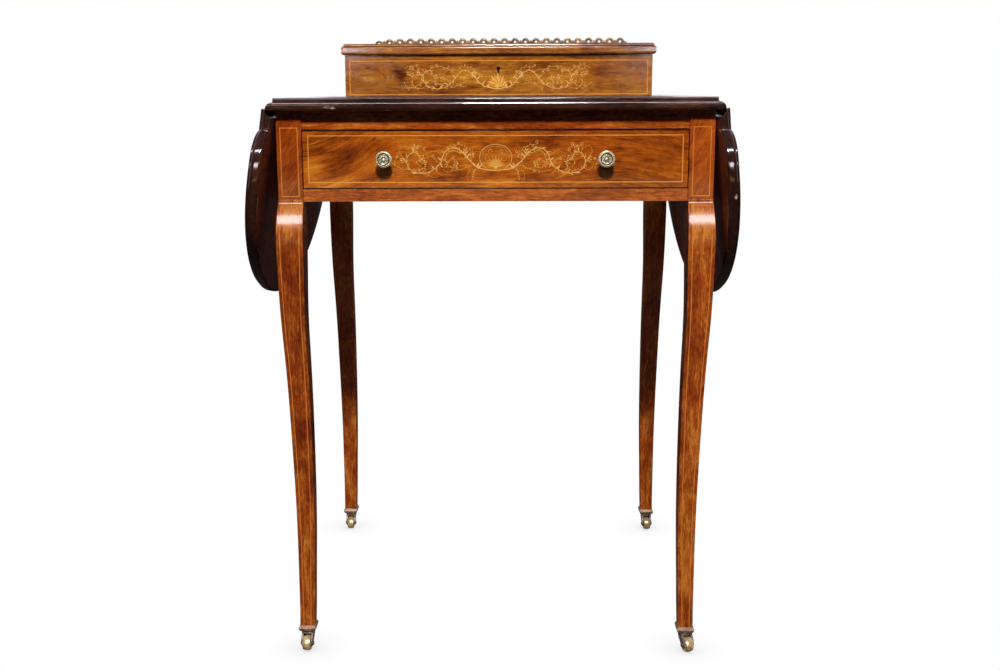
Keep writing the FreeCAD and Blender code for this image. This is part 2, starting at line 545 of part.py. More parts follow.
# lid with a moulding worked along its front and both ends
lid = doc.addObject("PartDesign::Body", "lid_body")
lf, lb, lh, l0, l1 = D("lid_front"), D("box_back_y"), D("lid_half"), D("lid_low"), D("lid_high")
s = sketch(lid, "lid_plan", "XY_Plane", "lid_low")
trace(s, (-lh, -lf), ("L", (lh, -lf)), ("L", (lh, lb)), ("L", (-lh, lb)), ("L", (-lh, -lf)))
pad(lid, "lid_board", s, "lid_high-lid_low")
moulding = [(5.6, l1), ("A", (3.3, l1 - 0.9), (2.4, l1 - 2.9)), ("L", (3.3, l1 - 3.4)),
            ("L", (1.9, l1 - 4.1)), ("A", (0.5, l1 - 4.8), (0.0, l1 - 6.0)), ("L", (0.0, l1 - 11.3)),
            ("A", (1.3, l1 - 14.0), (4.0, l0))]
s = sketch(lid, "lid_front_edge", "YZ_Plane")
waste(s, moulding, lf, -1, l1, l0)
pocket(lid, "lid_front_cut", s, 600, symmetric=True)
s = sketch(lid, "lid_end_edges", "XZ_Plane")
for sg in (-1, 1):
    waste(s, moulding, lh, sg, l1, l0)
pocket(lid, "lid_end_cut", s, 600, symmetric=True)
node(cut("lid_cut", lid, slab("lid_g", -15, 15, -19, -10, "lid_low-1", "lid_low+1.5"),
         *[slab("lid_h%d" % s_, Hx0, Hx1, 226, Bb + "+1", "lid_low-1", "lid_low+1.5", s_)
           for s_ in (-1, 1)]), "box_lid")

# lid hinges: fixed plate and middle knuckle on the box back, flap with outer knuckles on the lid
fixed, flaps, hpins = [], [], []
for sx in (-1, 1):
    t = str(sx)
    a = slab("lh_a" + t, Hx0, Hx1, 226, 235.1, "lid_pin_z-1.65", "box_high", sx)
    b = slab("lh_b" + t, "lid_hinge_x-8", "lid_hinge_x+8", 235.1, "lid_pin_y", "lid_pin_z-1.65",
             "box_high", sx)
    k = rod("lh_c" + t, "x", "lid_knuckle", 16, "%d*lid_hinge_x-8" % sx, "lid_pin_y", "lid_pin_z")
    h = rod("lh_d" + t, "x", "pin_rad", 16, "%d*lid_hinge_x-8" % sx, "lid_pin_y", "lid_pin_z")
    fixed.append(cut("lh_e" + t, fuse("lh_f" + t, a, b, k), h))
    a = slab("lf_a" + t, Hx0, Hx1, 226, 235.1, "lid_low", "lid_low+1.5", sx)
    b = slab("lf_b" + t, Hx0, "lid_hinge_x-8.3", 235.1, "lid_pin_y", "lid_low", "lid_low+1.5", sx)
    c = slab("lf_c" + t, "lid_hinge_x+8.3", Hx1, 235.1, "lid_pin_y", "lid_low", "lid_low+1.5", sx)
    k1 = rod("lf_d" + t, "x", "lid_knuckle", "lid_hinge_half-8.3",
             "%d*lid_hinge_x-lid_hinge_half" % sx, "lid_pin_y", "lid_pin_z")
    k2 = rod("lf_e" + t, "x", "lid_knuckle", "lid_hinge_half-8.3", "%d*lid_hinge_x+8.3" % sx,
             "lid_pin_y", "lid_pin_z")
    h = rod("lf_f" + t, "x", "pin_rad+0.05", "2*lid_hinge_half",
            "%d*lid_hinge_x-lid_hinge_half" % sx, "lid_pin_y", "lid_pin_z")
    flaps.append(cut("lf_g" + t, fuse("lf_h" + t, a, b, c, k1, k2), h))
    hpins.append(rod("lp" + t, "x", "pin_rad", "2*lid_hinge_half",
                     "%d*lid_hinge_x-lid_hinge_half" % sx, "lid_pin_y", "lid_pin_z"))
node(group("lid_plates", *fixed), "lid_hinge_plates")
node(group("lid_flaps", *flaps), "lid_hinge_flaps")
node(group("lid_pins", *hpins), "lid_hinge_pins")

# ---------------------------------------------------------------- gallery
gal = doc.addObject("PartDesign::Body", "gallery_body")
gh, pitch, n = D("gal_half"), D("gal_pitch"), int(D("gal_count"))
gz = D("gal_ring_z")
s = sketch(gal, "gal_base", "XZ_Plane", "-gal_y")
trace(s, (-gh, l1), ("L", (gh, l1)), ("L", (gh, l1 + 1.6)), ("L", (gh - 1, l1 + 2.6)),
      ("L", (-gh + 1, l1 + 2.6)), ("L", (-gh, l1 + 1.6)), ("L", (-gh, l1)))
pad(gal, "gal_base_strip", s, "gal_t", symmetric=True)
row_dir = plane(gal, "X_Axis")


def gallery_row(tag, first, z, rad, eye, thick, count):
    """A row of rings, each on a short post that stands on the base strip."""
    k = sketch(gal, "gal_post_" + tag, "XZ_Plane", "-gal_y")
    trace(k, (first - 1.1, l1 + 2.0), ("L", (first + 1.1, l1 + 2.0)),
          ("L", (first + 0.8, z - rad + 1.0)), ("L", (first - 0.8, z - rad + 1.0)),
          ("L", (first - 1.1, l1 + 2.0)))
    post = pad(gal, "gal_post_pad_" + tag, k, thick, symmetric=True)
    k = sketch(gal, "gal_ring_" + tag, "XZ_Plane", "-gal_y")
    for r in (rad, eye):
        k.addGeometry(Part.Circle(V(first, z, 0), V(0, 0, 1), r), False)
    ring = pad(gal, "gal_ring_pad_" + tag, k, thick, symmetric=True)
    doc.recompute()
    lp = gal.newObject("PartDesign::LinearPattern", "gal_row_" + tag)
    lp.Originals = [post, ring]
    lp.Direction = (row_dir, [""])
    lp.Mode = "Spacing" if "Spacing" in lp.getEnumerationsOfProperty("Mode") else lp.Mode
    bind(lp, "Occurrences", count)
    bind(lp, "Offset", "gal_pitch")
    gal.Tip = lp
    doc.recompute()


x0 = -(n - 1) / 2.0 * pitch
gallery_row("large", x0, gz, D("gal_ring"), D("gal_eye"), "gal_t", "gal_count")
gallery_row("small", x0 + pitch / 2, D("gal_small_z"), D("gal_small"), D("gal_small_eye"),
            "gal_t-0.6", "gal_count-1")
node(gal, "gallery")

# ---------------------------------------------------------------- casters
SPLAY = {"front_left": -4.0, "front_right": 18.0, "back_left": 1.0, "back_right": 4.0}
sockets = []
for sx, sy, name in ((-1, -1, "front_left"), (1, -1, "front_right"), (-1, 1, "back_left"),
                     (1, 1, "back_right")):
    # collar: square, bevelled both ways from a middle ridge, with a bored tube up the leg
    b = doc.addObject("PartDesign::Body", "collar_" + name)
    slope = math.degrees(math.atan((D("collar_w") - D("collar_end")) / 8.0))
    s = sketch(b, "ridge_up_" + name, "XY_Plane", "(collar_low+foot_z)/2")
    rect(s, "collar_w", "collar_w")
    pad(b, "bevel_up_" + name, s, "(foot_z-collar_low)/2", taper=-slope)
    s = sketch(b, "ridge_down_" + name, "XY_Plane", "(collar_low+foot_z)/2")
    rect(s, "collar_w", "collar_w")
    pad(b, "bevel_down_" + name, s, "(foot_z-collar_low)/2", back=True, taper=-slope)
    s = sketch(b, "spigot_seat_" + name, "XY_Plane", "foot_z")
    rect(s, "spigot_w", "spigot_w")
    pocket(b, "seat_" + name, s, "foot_z-collar_low-2")
    s = sketch(b, "tube_" + name, "XY_Plane", "collar_low+2")
    s.addGeometry(Part.Circle(V(0, 0, 0), V(0, 0, 1), D("tube_rad")), False)
    pad(b, "tube_pad_" + name, s, 29)
    s = sketch(b, "bore_" + name, "XY_Plane", "collar_low+31")
    s.addGeometry(Part.Circle(V(0, 0, 0), V(0, 0, 1), D("socket_rad")), False)
    pocket(b, "bore_cut_" + name, s, 40)
    bind(b, "Placement.Base.x", "%d*swivel_x" % sx)
    bind(b, "Placement.Base.y", "%d*swivel_y" % sy)
    sockets.append(b)

    # fork, with its trail towards local -y, turned about the swivel axis
    yaw = FreeCAD.Rotation(V(0, 0, 1), SPLAY[name])
    tr, wr = D("trail"), D("wheel_rad")
    f = doc.addObject("PartDesign::Body", "fork_body_" + name)
    s = sketch(f, "crown_" + name, "XY_Plane", 21.6)
    trace(s, (-7.9, -8.0), ("L", (7.9, -8.0)), ("L", (7.9, 1.0)), ("A", (0, 9.3), (-7.9, 1.0)),
          ("L", (-7.9, -8.0)))
    pad(f, "crown_pad_" + name, s, 3.0)
    s = sketch(f, "cheek_" + name, "YZ_Plane")
    trace(s, (-8.0, 21.6), ("L", (3.0, 21.6)), ("S", [(1.6, 17.0), (-2.2, 12.2), (-5.2, 8.6)]),
          ("A", (-tr, wr - 4.7), (-tr - 4.3, 8.6)), ("L", (-13.8, 12.0)), ("L", (-12.4, 17.0)),
          ("L", (-8.0, 21.6)))
    pad(f, "cheek_pad_" + name, s, "fork_w", symmetric=True)
    s = sketch(f, "gap_" + name, "YZ_Plane")
    trace(s, (-25, -2), ("L", (8, -2)), ("L", (8, 21.6)), ("L", (-25, 21.6)), ("L", (-25, -2)))
    pocket(f, "gap_cut_" + name, s, "fork_gap", symmetric=True)
    s = sketch(f, "neck_" + name, "XY_Plane", 24.6)
    s.addGeometry(Part.Circle(V(0, 0, 0), V(0, 0, 1), 4.8), False)
    pad(f, "neck_pad_" + name, s, 1.1)
    s = sketch(f, "stem_" + name, "XY_Plane", 25.7)
    s.addGeometry(Part.Circle(V(0, 0, 0), V(0, 0, 1), D("stem_rad")), False)
    pad(f, "stem_pad_" + name, s, 28)
    s = sketch(f, "eye_" + name, "YZ_Plane")
    s.addGeometry(Part.Circle(V(-tr, wr, 0), V(0, 0, 1), D("axle_rad")), False)
    pocket(f, "eye_cut_" + name, s, 40, symmetric=True)
    f.Placement = FreeCAD.Placement(V(0, 0, 0), yaw)
    bind(f, "Placement.Base.x", "%d*swivel_x" % sx)
    bind(f, "Placement.Base.y", "%d*swivel_y" % sy)
    node(f, "caster_fork_" + name)

    hub = V(sx * D("swivel_x"), sy * D("swivel_y"), 0).add(yaw.multVec(V(0, -tr, wr)))
    lay = yaw.multiply(FreeCAD.Rotation(V(0, 1, 0), 90))
    w2 = D("wheel_w") / 2
    w = turned("wheel_body_" + name, (D("axle_rad") + 0.05, -w2), ("L", (5.0, -w2)),
               ("L", (5.6, -w2 + 0.5)), ("L", (8.0, -w2 + 0.5)), ("L", (8.9, -w2)),
               ("A", (wr, 0), (8.9, w2)), ("L", (8.0, w2 - 0.5)), ("L", (5.6, w2 - 0.5)),
               ("L", (5.0, w2)), ("L", (D("axle_rad") + 0.05, w2)),
               ("L", (D("axle_rad") + 0.05, -w2)))
    w.Placement = FreeCAD.Placement(hub, lay)
    node(w, "caster_wheel_" + name)
    a = turned("axle_body_" + name, (0, -8.9), ("L", (2.0, -8.9)), ("L", (2.9, -8.5)),
               ("L", (2.9, -7.9)), ("L", (2.0, -7.9)), ("L", (2.0, 7.9)), ("L", (2.9, 7.9)),
               ("L", (2.9, 8.5)), ("L", (2.0, 8.9)), ("L", (0, 8.9)), ("L", (0, -8.9)))
    a.Placement = FreeCAD.Placement(hub, lay)
    node(a, "caster_axle_" + name)
node(group("sockets", *sockets), "caster_sockets")

# ---------------------------------------------------------------- check and write
doc.recompute()
bad = [o.Name for o in doc.Objects if any(x in o.State for x in ("Invalid", "Error"))]
if bad:
    raise RuntimeError("failed objects: %s" % bad)
if len({o.Label for o in NODES}) != len(NODES) or len(NODES) > 60:
    raise RuntimeError("labels are not unique, or too many: %d" % len(NODES))
for o in NODES:
    sh = o.Shape
    if sh.isNull() or not sh.isValid() or not sh.Solids:
        raise RuntimeError("%s has no valid shape" % o.Label)
for o in NODES:
    o.Shape.exportStep("parts/%s.step" % o.Label)
    bb = o.Shape.BoundBox
    print("%-26s %2d solids %11.1f mm3  x %8.2f %8.2f  y %8.2f %8.2f  z %7.2f %7.2f" % (
        o.Label, len(o.Shape.Solids), o.Shape.Volume, bb.XMin, bb.XMax, bb.YMin, bb.YMax,
        bb.ZMin, bb.ZMax))
print(len(NODES), "nodes")
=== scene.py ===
import math
import random

import bmesh
import bpy
import numpy as np
from mathutils import Matrix, Vector


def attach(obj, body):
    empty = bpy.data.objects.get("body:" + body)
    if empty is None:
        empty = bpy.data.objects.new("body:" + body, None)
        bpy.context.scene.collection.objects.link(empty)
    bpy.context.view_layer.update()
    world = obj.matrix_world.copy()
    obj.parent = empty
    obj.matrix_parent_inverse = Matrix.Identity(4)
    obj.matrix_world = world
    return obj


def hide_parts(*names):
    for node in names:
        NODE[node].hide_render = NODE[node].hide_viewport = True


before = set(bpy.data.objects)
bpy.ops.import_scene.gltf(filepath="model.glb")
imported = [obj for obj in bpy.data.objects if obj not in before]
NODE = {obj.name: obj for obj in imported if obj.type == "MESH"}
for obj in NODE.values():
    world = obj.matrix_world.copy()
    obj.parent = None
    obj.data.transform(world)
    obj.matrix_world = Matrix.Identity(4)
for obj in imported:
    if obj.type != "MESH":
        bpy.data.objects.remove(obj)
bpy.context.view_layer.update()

MM = 0.001
random.seed(7)


# ------------------------------------------------------------------ colour and node helpers
def srgb(r, g, b):
    """0-255 display colour to linear RGBA."""
    out = []
    for v in (r, g, b):
        v /= 255.0
        out.append(v / 12.92 if v <= 0.04045 else ((v + 0.055) / 1.055) ** 2.4)
    return (out[0], out[1], out[2], 1.0)


class Graph:
    """A small builder for one material's shader nodes."""

    def __init__(self, name):
        self.mat = bpy.data.materials.new(name)
        self.mat.use_nodes = True
        self.tree = self.mat.node_tree
        self.tree.nodes.clear()
        self.out = self.tree.nodes.new("ShaderNodeOutputMaterial")

    def node(self, kind, **props):
        n = self.tree.nodes.new(kind)
        for k, v in props.items():
            setattr(n, k, v)
        return n

    def put(self, socket, value):
        if isinstance(value, bpy.types.NodeSocket):
            self.tree.links.new(value, socket)
        elif hasattr(socket.default_value, "__len__"):
            if hasattr(value, "__len__"):
                socket.default_value = tuple(value)[: len(socket.default_value)]
            else:
                socket.default_value = (value,) * len(socket.default_value)
        else:
            socket.default_value = value

    def math(self, op, a, b=0.0, c=None, clamp=False):
        n = self.node("ShaderNodeMath", operation=op, use_clamp=clamp)
        self.put(n.inputs[0], a)
        self.put(n.inputs[1], b)
        if c is not None:
            self.put(n.inputs[2], c)
        return n.outputs[0]

    def vec(self, x, y, z):
        n = self.node("ShaderNodeCombineXYZ")
        for i, v in enumerate((x, y, z)):
            self.put(n.inputs[i], v)
        return n.outputs[0]

    def split(self, v):
        n = self.node("ShaderNodeSeparateXYZ")
        self.put(n.inputs[0], v)
        return n.outputs[0], n.outputs[1], n.outputs[2]

    def noise(self, v, scale, detail=2.0, rough=0.5, distort=0.0, out=0):
        n = self.node("ShaderNodeTexNoise")
        self.put(n.inputs["Vector"], v)
        self.put(n.inputs["Scale"], scale)
        self.put(n.inputs["Detail"], detail)
        self.put(n.inputs["Roughness"], rough)
        self.put(n.inputs["Distortion"], distort)
        return n.outputs[out]

    def voronoi(self, v, scale, feature="F1", rand=1.0):
        n = self.node("ShaderNodeTexVoronoi", feature=feature)
        self.put(n.inputs["Vector"], v)
        self.put(n.inputs["Scale"], scale)
        self.put(n.inputs["Randomness"], rand)
        return n.outputs[0]

    def span(self, x, lo, hi, a=0.0, b=1.0, smooth=True):
        n = self.node("ShaderNodeMapRange")
        n.interpolation_type = "SMOOTHSTEP" if smooth else "LINEAR"
        self.put(n.inputs["Value"], x)
        self.put(n.inputs["From Min"], lo)
        self.put(n.inputs["From Max"], hi)
        self.put(n.inputs["To Min"], a)
        self.put(n.inputs["To Max"], b)
        return n.outputs["Result"]

    def ramp(self, x, stops):
        n = self.node("ShaderNodeValToRGB")
        e = n.color_ramp.elements
        while len(e) < len(stops):
            e.new(0.5)
        for i, (p, col) in enumerate(stops):
            e[i].position = p
            e[i].color = col
        self.put(n.inputs[0], x)
        return n.outputs[0]

    def mix(self, f, a, b, blend="MIX"):
        n = self.node("ShaderNodeMix", data_type="RGBA", blend_type=blend, clamp_factor=True)
        self.put(n.inputs[0], f)
        self.put(n.inputs[6], a)
        self.put(n.inputs[7], b)
        return n.outputs[2]

    def blob(self, x, z, cx, cz, rx, rz):
        """A soft spot in the plane: 1 at its centre, 0 outside."""
        dx = self.math("DIVIDE", self.math("SUBTRACT", x, cx), rx)
        dz = self.math("DIVIDE", self.math("SUBTRACT", z, cz), rz)
        r2 = self.math("ADD", self.math("MULTIPLY", dx, dx), self.math("MULTIPLY", dz, dz))
        return self.math("EXPONENT", self.math("MULTIPLY", r2, -1.0))

    def object_coords(self):
        return self.node("ShaderNodeTexCoord").outputs["Object"]

    def soft_normal(self, radius=0.0007, samples=4):
        n = self.node("ShaderNodeBevel", samples=samples)
        self.put(n.inputs["Radius"], radius)
        return n.outputs[0]

    def worn_edges(self, soft):
        """0 on flat faces, rising to 1 on sharp edges."""
        g = self.node("ShaderNodeNewGeometry")
        d = self.node("ShaderNodeVectorMath", operation="DOT_PRODUCT")
        self.put(d.inputs[0], soft)
        self.put(d.inputs[1], g.outputs["Normal"])
        return self.span(self.math("SUBTRACT", 1.0, d.outputs["Value"]), 0.01, 0.16)

    def bump(self, height, strength, distance, normal=None):
        n = self.node("ShaderNodeBump")
        self.put(n.inputs["Strength"], strength)
        self.put(n.inputs["Distance"], distance)
        self.put(n.inputs["Height"], height)
        if normal is not None:
            self.put(n.inputs["Normal"], normal)
        return n.outputs[0]

    def hollow(self, distance=0.006):
        n = self.node("ShaderNodeAmbientOcclusion", samples=4)
        self.put(n.inputs["Distance"], distance)
        return n.outputs["AO"]

    def surface(self, color, rough, metallic=0.0, coat=0.0, coat_rough=0.1, normal=None, spec=0.5,
                ior=1.5, coat_tint=None):
        b = self.node("ShaderNodeBsdfPrincipled")
        self.put(b.inputs["Base Color"], color)
        self.put(b.inputs["Roughness"], rough)
        self.put(b.inputs["Metallic"], metallic)
        self.put(b.inputs["Coat Weight"], coat)
        self.put(b.inputs["Coat Roughness"], coat_rough)
        self.put(b.inputs["Specular IOR Level"], spec)
        self.put(b.inputs["IOR"], ior)
        if coat_tint:
            self.put(b.inputs["Coat Tint"], coat_tint)
        if normal is not None:
            self.put(b.inputs["Normal"], normal)
            self.put(b.inputs["Coat Normal"], normal)
        self.tree.links.new(b.outputs[0], self.out.inputs["Surface"])
        return b


AXES = {"X": (0, 2, 1), "Y": (1, 0, 2), "Z": (2, 0, 1)}


def wood(name, stops, grain="X", tilt=0.0, seed=0.0, bands=150.0, broad=20.0, sway=0.012,
         contrast=1.0, lift=0.0, blobs=(), knots=(), bends=(), pores=0.5, rough=(0.26, 0.4), coat=0.8,
         coat_rough=0.05, spec=0.0, worn=None, worn_amount=0.4, painted_hollow_shade=0.6, bevel=0.0003, scuffs=0.0,
         weights=(0.18, 0.38, 0.22, 0.22), bump=0.04, painted_gap_shade=(), veins=0.55, vein_width=0.03, olive=0.35, chips=(),
         polish=1.0):
    """Polished wood. The grain runs along one axis; broad figure, bands, veins, fibres and pores
    follow it, bent by slow sway and round knots."""
    g = Graph(name)
    p = g.object_coords()
    x, y, z = g.split(p)
    xyz = (x, y, z)
    iu, iv, iw = AXES[grain]
    u, v, w = xyz[iu], xyz[iv], xyz[iw]
    if tilt:
        c, s = math.cos(math.radians(tilt)), math.sin(math.radians(tilt))
        u, v = (g.math("ADD", g.math("MULTIPLY", u, c), g.math("MULTIPLY", v, s)),
                g.math("SUBTRACT", g.math("MULTIPLY", v, c), g.math("MULTIPLY", u, s)))
    slow = g.noise(g.vec(g.math("MULTIPLY", u, 6.0), g.math("MULTIPLY", v, 15.0),
                         g.math("MULTIPLY_ADD", w, 9.0, seed)), 1.0, 2.0, 0.5)
    wob = g.noise(g.vec(g.math("MULTIPLY", u, 34.0), g.math("MULTIPLY", v, 85.0),
                        g.math("MULTIPLY_ADD", w, 30.0, seed + 3.1)), 1.0, 2.0, 0.55)
    fleck = g.noise(g.vec(g.math("MULTIPLY", u, 70.0), g.math("MULTIPLY", v, 130.0),
                          g.math("MULTIPLY_ADD", w, 40.0, seed + 7.7)), 1.0, 3.0, 0.6)
    vv = g.math("ADD", v, g.math("MULTIPLY", g.math("SUBTRACT", slow, 0.5), sway * 2.6))
    vv = g.math("ADD", vv, g.math("MULTIPLY", g.math("SUBTRACT", wob, 0.5), sway * 0.22))
    for (u0, u1, rise) in bends:
        vv = g.math("SUBTRACT", vv, g.span(u, u0, u1, 0.0, rise))
    for (kx, kz, rx, rz, pitch) in knots:
        dx = g.math("DIVIDE", g.math("SUBTRACT", x, kx), rx)
        dz = g.math("DIVIDE", g.math("SUBTRACT", z, kz), rz)
        dx = g.math("ADD", dx, g.math("MULTIPLY", g.math("SUBTRACT", slow, 0.5), 1.1))
        r = g.math("SQRT", g.math("ADD", g.math("MULTIPLY", dx, dx), g.math("MULTIPLY", dz, dz)))
        r = g.math("ADD", r, g.math("MULTIPLY", g.math("SUBTRACT", wob, 0.5), 0.7))
        near = g.span(r, 1.2, 0.5)
        ring = g.math("MULTIPLY_ADD", r, pitch, kz)
        vv = g.math("ADD", g.math("MULTIPLY", vv, g.math("SUBTRACT", 1.0, near)),
                    g.math("MULTIPLY", ring, near))
    ws = g.math("MULTIPLY_ADD", w, 0.35, seed)
    band = g.noise(g.vec(g.math("MULTIPLY", u, 0.10), vv, ws), bands, 4.0, 0.62)
    wide = g.noise(g.vec(g.math("MULTIPLY", u, 0.42), vv, ws), broad, 5.0, 0.60, 0.9)
    fine = g.noise(g.vec(g.math("MULTIPLY", u, 0.07), vv, ws), bands * 3.6, 3.0, 0.65)
    mott = g.noise(g.vec(g.math("MULTIPLY", u, 0.36), vv, g.math("ADD", ws, 4.2)), bands * 1.5, 4.0, 0.66, 0.4)
    tone = g.math("ADD", g.math("MULTIPLY", band, weights[0]),
                  g.math("ADD", g.math("MULTIPLY", wide, weights[1]),
                         g.math("ADD", g.math("MULTIPLY", fine, weights[2]),
                                g.math("MULTIPLY", mott, weights[3]))))
    tone = g.math("MULTIPLY_ADD", g.math("SUBTRACT", tone, 0.5), 4.4 * contrast, 0.5 + lift)
    # soft spots that raise or lower the tone: figure in the veneer, and on the legs also a painted sheen at the
    # knees and painted light near the floor
    for b in blobs:
        bx, bz, rx, rz, amount = b[:5]
        qx = g.math("ADD", x, g.math("MULTIPLY", g.math("SUBTRACT", wob, 0.5), 0.034))
        qz = g.math("ADD", z, g.math("MULTIPLY", g.math("SUBTRACT", fleck, 0.5), 0.012))
        if len(b) > 5:
            c, s = math.cos(math.radians(b[5])), math.sin(math.radians(b[5]))
            ex = g.math("SUBTRACT", qx, bx)
            ez = g.math("SUBTRACT", qz, bz)
            qx = g.math("ADD", g.math("MULTIPLY", ex, c), g.math("MULTIPLY", ez, s))
            qz = g.math("SUBTRACT", g.math("MULTIPLY", ez, c), g.math("MULTIPLY", ex, s))
            bx = bz = 0.0
        tone = g.math("ADD", tone, g.math("MULTIPLY", g.blob(qx, qz, bx, bz, rx, rz), amount))
    tone = g.math("ADD", tone, 0.0, clamp=True)
    col = g.ramp(tone, stops)
    # thin dark veins, gathered in some places and absent in others
    vn = g.noise(g.vec(g.math("MULTIPLY", u, 0.05), vv, ws), bands * 0.8, 3.0, 0.6)
    ridge = g.span(g.math("ABSOLUTE", g.math("SUBTRACT", vn, 0.5)), 0.0, vein_width, 1.0, 0.0)
    gather = g.span(g.noise(g.vec(g.math("MULTIPLY", u, 0.4), vv, ws), broad * 1.3, 2.0, 0.5), 0.42, 0.62)
    dark = g.mix(0.35, stops[0][1], (0.0, 0.0, 0.0, 1.0))
    col = g.mix(g.math("MULTIPLY", g.math("MULTIPLY", ridge, gather), veins), col, dark)
    # short pores along the grain
    pv = g.vec(g.math("MULTIPLY", u, 0.06), vv, g.math("MULTIPLY", w, 0.4))
    pore = g.span(g.noise(pv, 1700.0, 1.0, 0.5), 0.57, 0.70)
    col = g.mix(g.math("MULTIPLY", pore, pores), col, dark)
    # slow drift of colour: greener where the polish has bleached, redder elsewhere
    drift = g.noise(p, 11.0, 3.0, 0.55)
    col = g.mix(g.span(drift, 0.48, 0.68, 0.0, olive), col, g.mix(1.0, col, srgb(226, 214, 140), "MULTIPLY"))
    col = g.mix(g.span(drift, 0.48, 0.32, 0.0, 0.4), col, g.mix(1.0, col, srgb(244, 196, 190), "MULTIPLY"))
    edge = g.worn_edges(g.soft_normal(0.0011))
    if worn:
        patch = g.span(g.noise(p, 60.0, 3.0, 0.65), 0.42, 0.60)
        col = g.mix(g.math("MULTIPLY", g.math("MULTIPLY", edge, patch), worn_amount), col, worn)
    # painted shade: the colour darkens towards the dark tone where ambient occlusion finds hollows, corners and
    # gaps
    if painted_hollow_shade:
        ao = g.hollow(0.004)
        col = g.mix(g.math("MULTIPLY", g.span(ao, 0.8, 0.3), painted_hollow_shade), col, dark)
    # painted shade: a near-black line at each given height, for the shade in the drawer's gaps and under the
    # lid's overhang
    for (z0, half, amount) in painted_gap_shade:
        line = g.span(g.math("ABSOLUTE", g.math("SUBTRACT", z, z0)), half, half * 0.55, 0.0, amount)
        col = g.mix(line, col, (0.004, 0.0015, 0.001, 1.0))
    smear = g.noise(p, 38.0, 4.0, 0.6)
    ro = g.span(smear, 0.3, 0.7, rough[0], rough[1])
    if scuffs:
        sc = g.noise(g.vec(g.math("MULTIPLY", u, 7.0), g.math("MULTIPLY", v, 90.0),
                           g.math("MULTIPLY", w, 90.0)), 3.0, 3.0, 0.7)
        where = g.span(g.noise(p, 13.0, 2.0, 0.5), 0.60, 0.72)
        hit = g.math("MULTIPLY", g.span(sc, 0.58, 0.68), where)
        col = g.mix(g.math("MULTIPLY", hit, scuffs), col, srgb(150, 128, 104))
        ro = g.math("ADD", ro, g.math("MULTIPLY", hit, 0.25))
    high = g.math("SUBTRACT", g.math("MULTIPLY", fine, 0.35), pore)
    high = g.math("ADD", high, g.math("MULTIPLY", g.noise(p, 120.0, 2.0, 0.5), 1.0))
    if chips:
        crumb = g.span(g.noise(p, 700.0, 3.0, 0.65), 0.49, 0.56)
        for (cx, cy, cz, rx, rz) in chips:
            here = g.math("MULTIPLY", g.blob(x, z, cx, cz, rx, rz), g.blob(y, y, cy, cy, 0.012, 0.012))
            hit = g.math("MULTIPLY", g.span(here, 0.25, 0.5), crumb)
            col = g.mix(hit, col, srgb(206, 178, 150))
            high = g.math("SUBTRACT", high, g.math("MULTIPLY", hit, 2.0))
    nrm = g.bump(high, bump, 0.0003, g.soft_normal(bevel))
    g.surface(col, ro, coat=coat, coat_rough=coat_rough, normal=nrm, spec=spec)
    return g.mat


def inlay(name, base, dark, seed=0.0, spread=0.35, rough=0.36, coat=0.8):
    """A light wood used for strings and leaves, let in flush and polished with the ground."""
    g = Graph(name)
    p = g.object_coords()
    x, y, z = g.split(p)
    n1 = g.noise(g.vec(x, g.math("ADD", y, seed), z), 90.0, 3.0, 0.6)
    n2 = g.noise(g.vec(x, g.math("ADD", y, seed), z), 900.0, 2.0, 0.6)
    t = g.math("ADD", g.math("MULTIPLY", n1, 0.6), g.math("MULTIPLY", n2, 0.4))
    col = g.ramp(g.span(t, 0.5 - spread, 0.5 + spread), [(0.0, dark), (0.45, base), (1.0, base)])
    patch = g.span(g.noise(p, 30.0, 2.0, 0.5), 0.55, 0.75, 0.0, 0.45)
    col = g.mix(patch, col, dark)
    nrm = g.bump(n2, 0.08, 0.0002)
    g.surface(col, rough, coat=coat, coat_rough=0.05, normal=nrm, spec=0.0)
    return g.mat


def metal(name, light, dark, rough=(0.24, 0.42), soil=(38, 30, 16), soil_amount=0.75, seed=0.0,
          scratch=0.15, bevel=0.0004, reach=0.0025, shine=0.55):
    """Cast and turned brass: bright where it is rubbed, brown in the hollows."""
    g = Graph(name)
    p = g.object_coords()
    x, y, z = g.split(p)
    q = g.vec(g.math("ADD", x, seed), y, z)
    n1 = g.noise(q, 140.0, 4.0, 0.62)
    n2 = g.noise(q, 900.0, 3.0, 0.6)
    col = g.mix(g.span(n1, 0.36, 0.66), light, dark)
    col = g.mix(g.span(n2, 0.5, 0.8, 0.0, 0.35), col, dark)
    soft = g.soft_normal(bevel)
    edge = g.worn_edges(soft)
    col = g.mix(g.math("MULTIPLY", edge, 0.6), col, light)
    ao = g.hollow(reach)
    pit = g.span(ao, 0.85, 0.35)
    col = g.mix(g.math("MULTIPLY", pit, soil_amount), col, srgb(*soil))
    ro = g.math("ADD", g.span(n1, 0.3, 0.7, rough[0], rough[1]), g.math("MULTIPLY", pit, 0.25))
    lines = g.noise(g.vec(g.math("MULTIPLY", x, 3.0), y, g.math("MULTIPLY", z, 1.0)), 1500.0, 2.0, 0.5)
    nrm = g.bump(g.math("ADD", g.math("MULTIPLY", lines, 0.5), g.math("MULTIPLY", n2, 0.6)),
                 scratch, 0.0002, soft)
    g.surface(col, ro, metallic=shine, normal=nrm)
    return g.mat


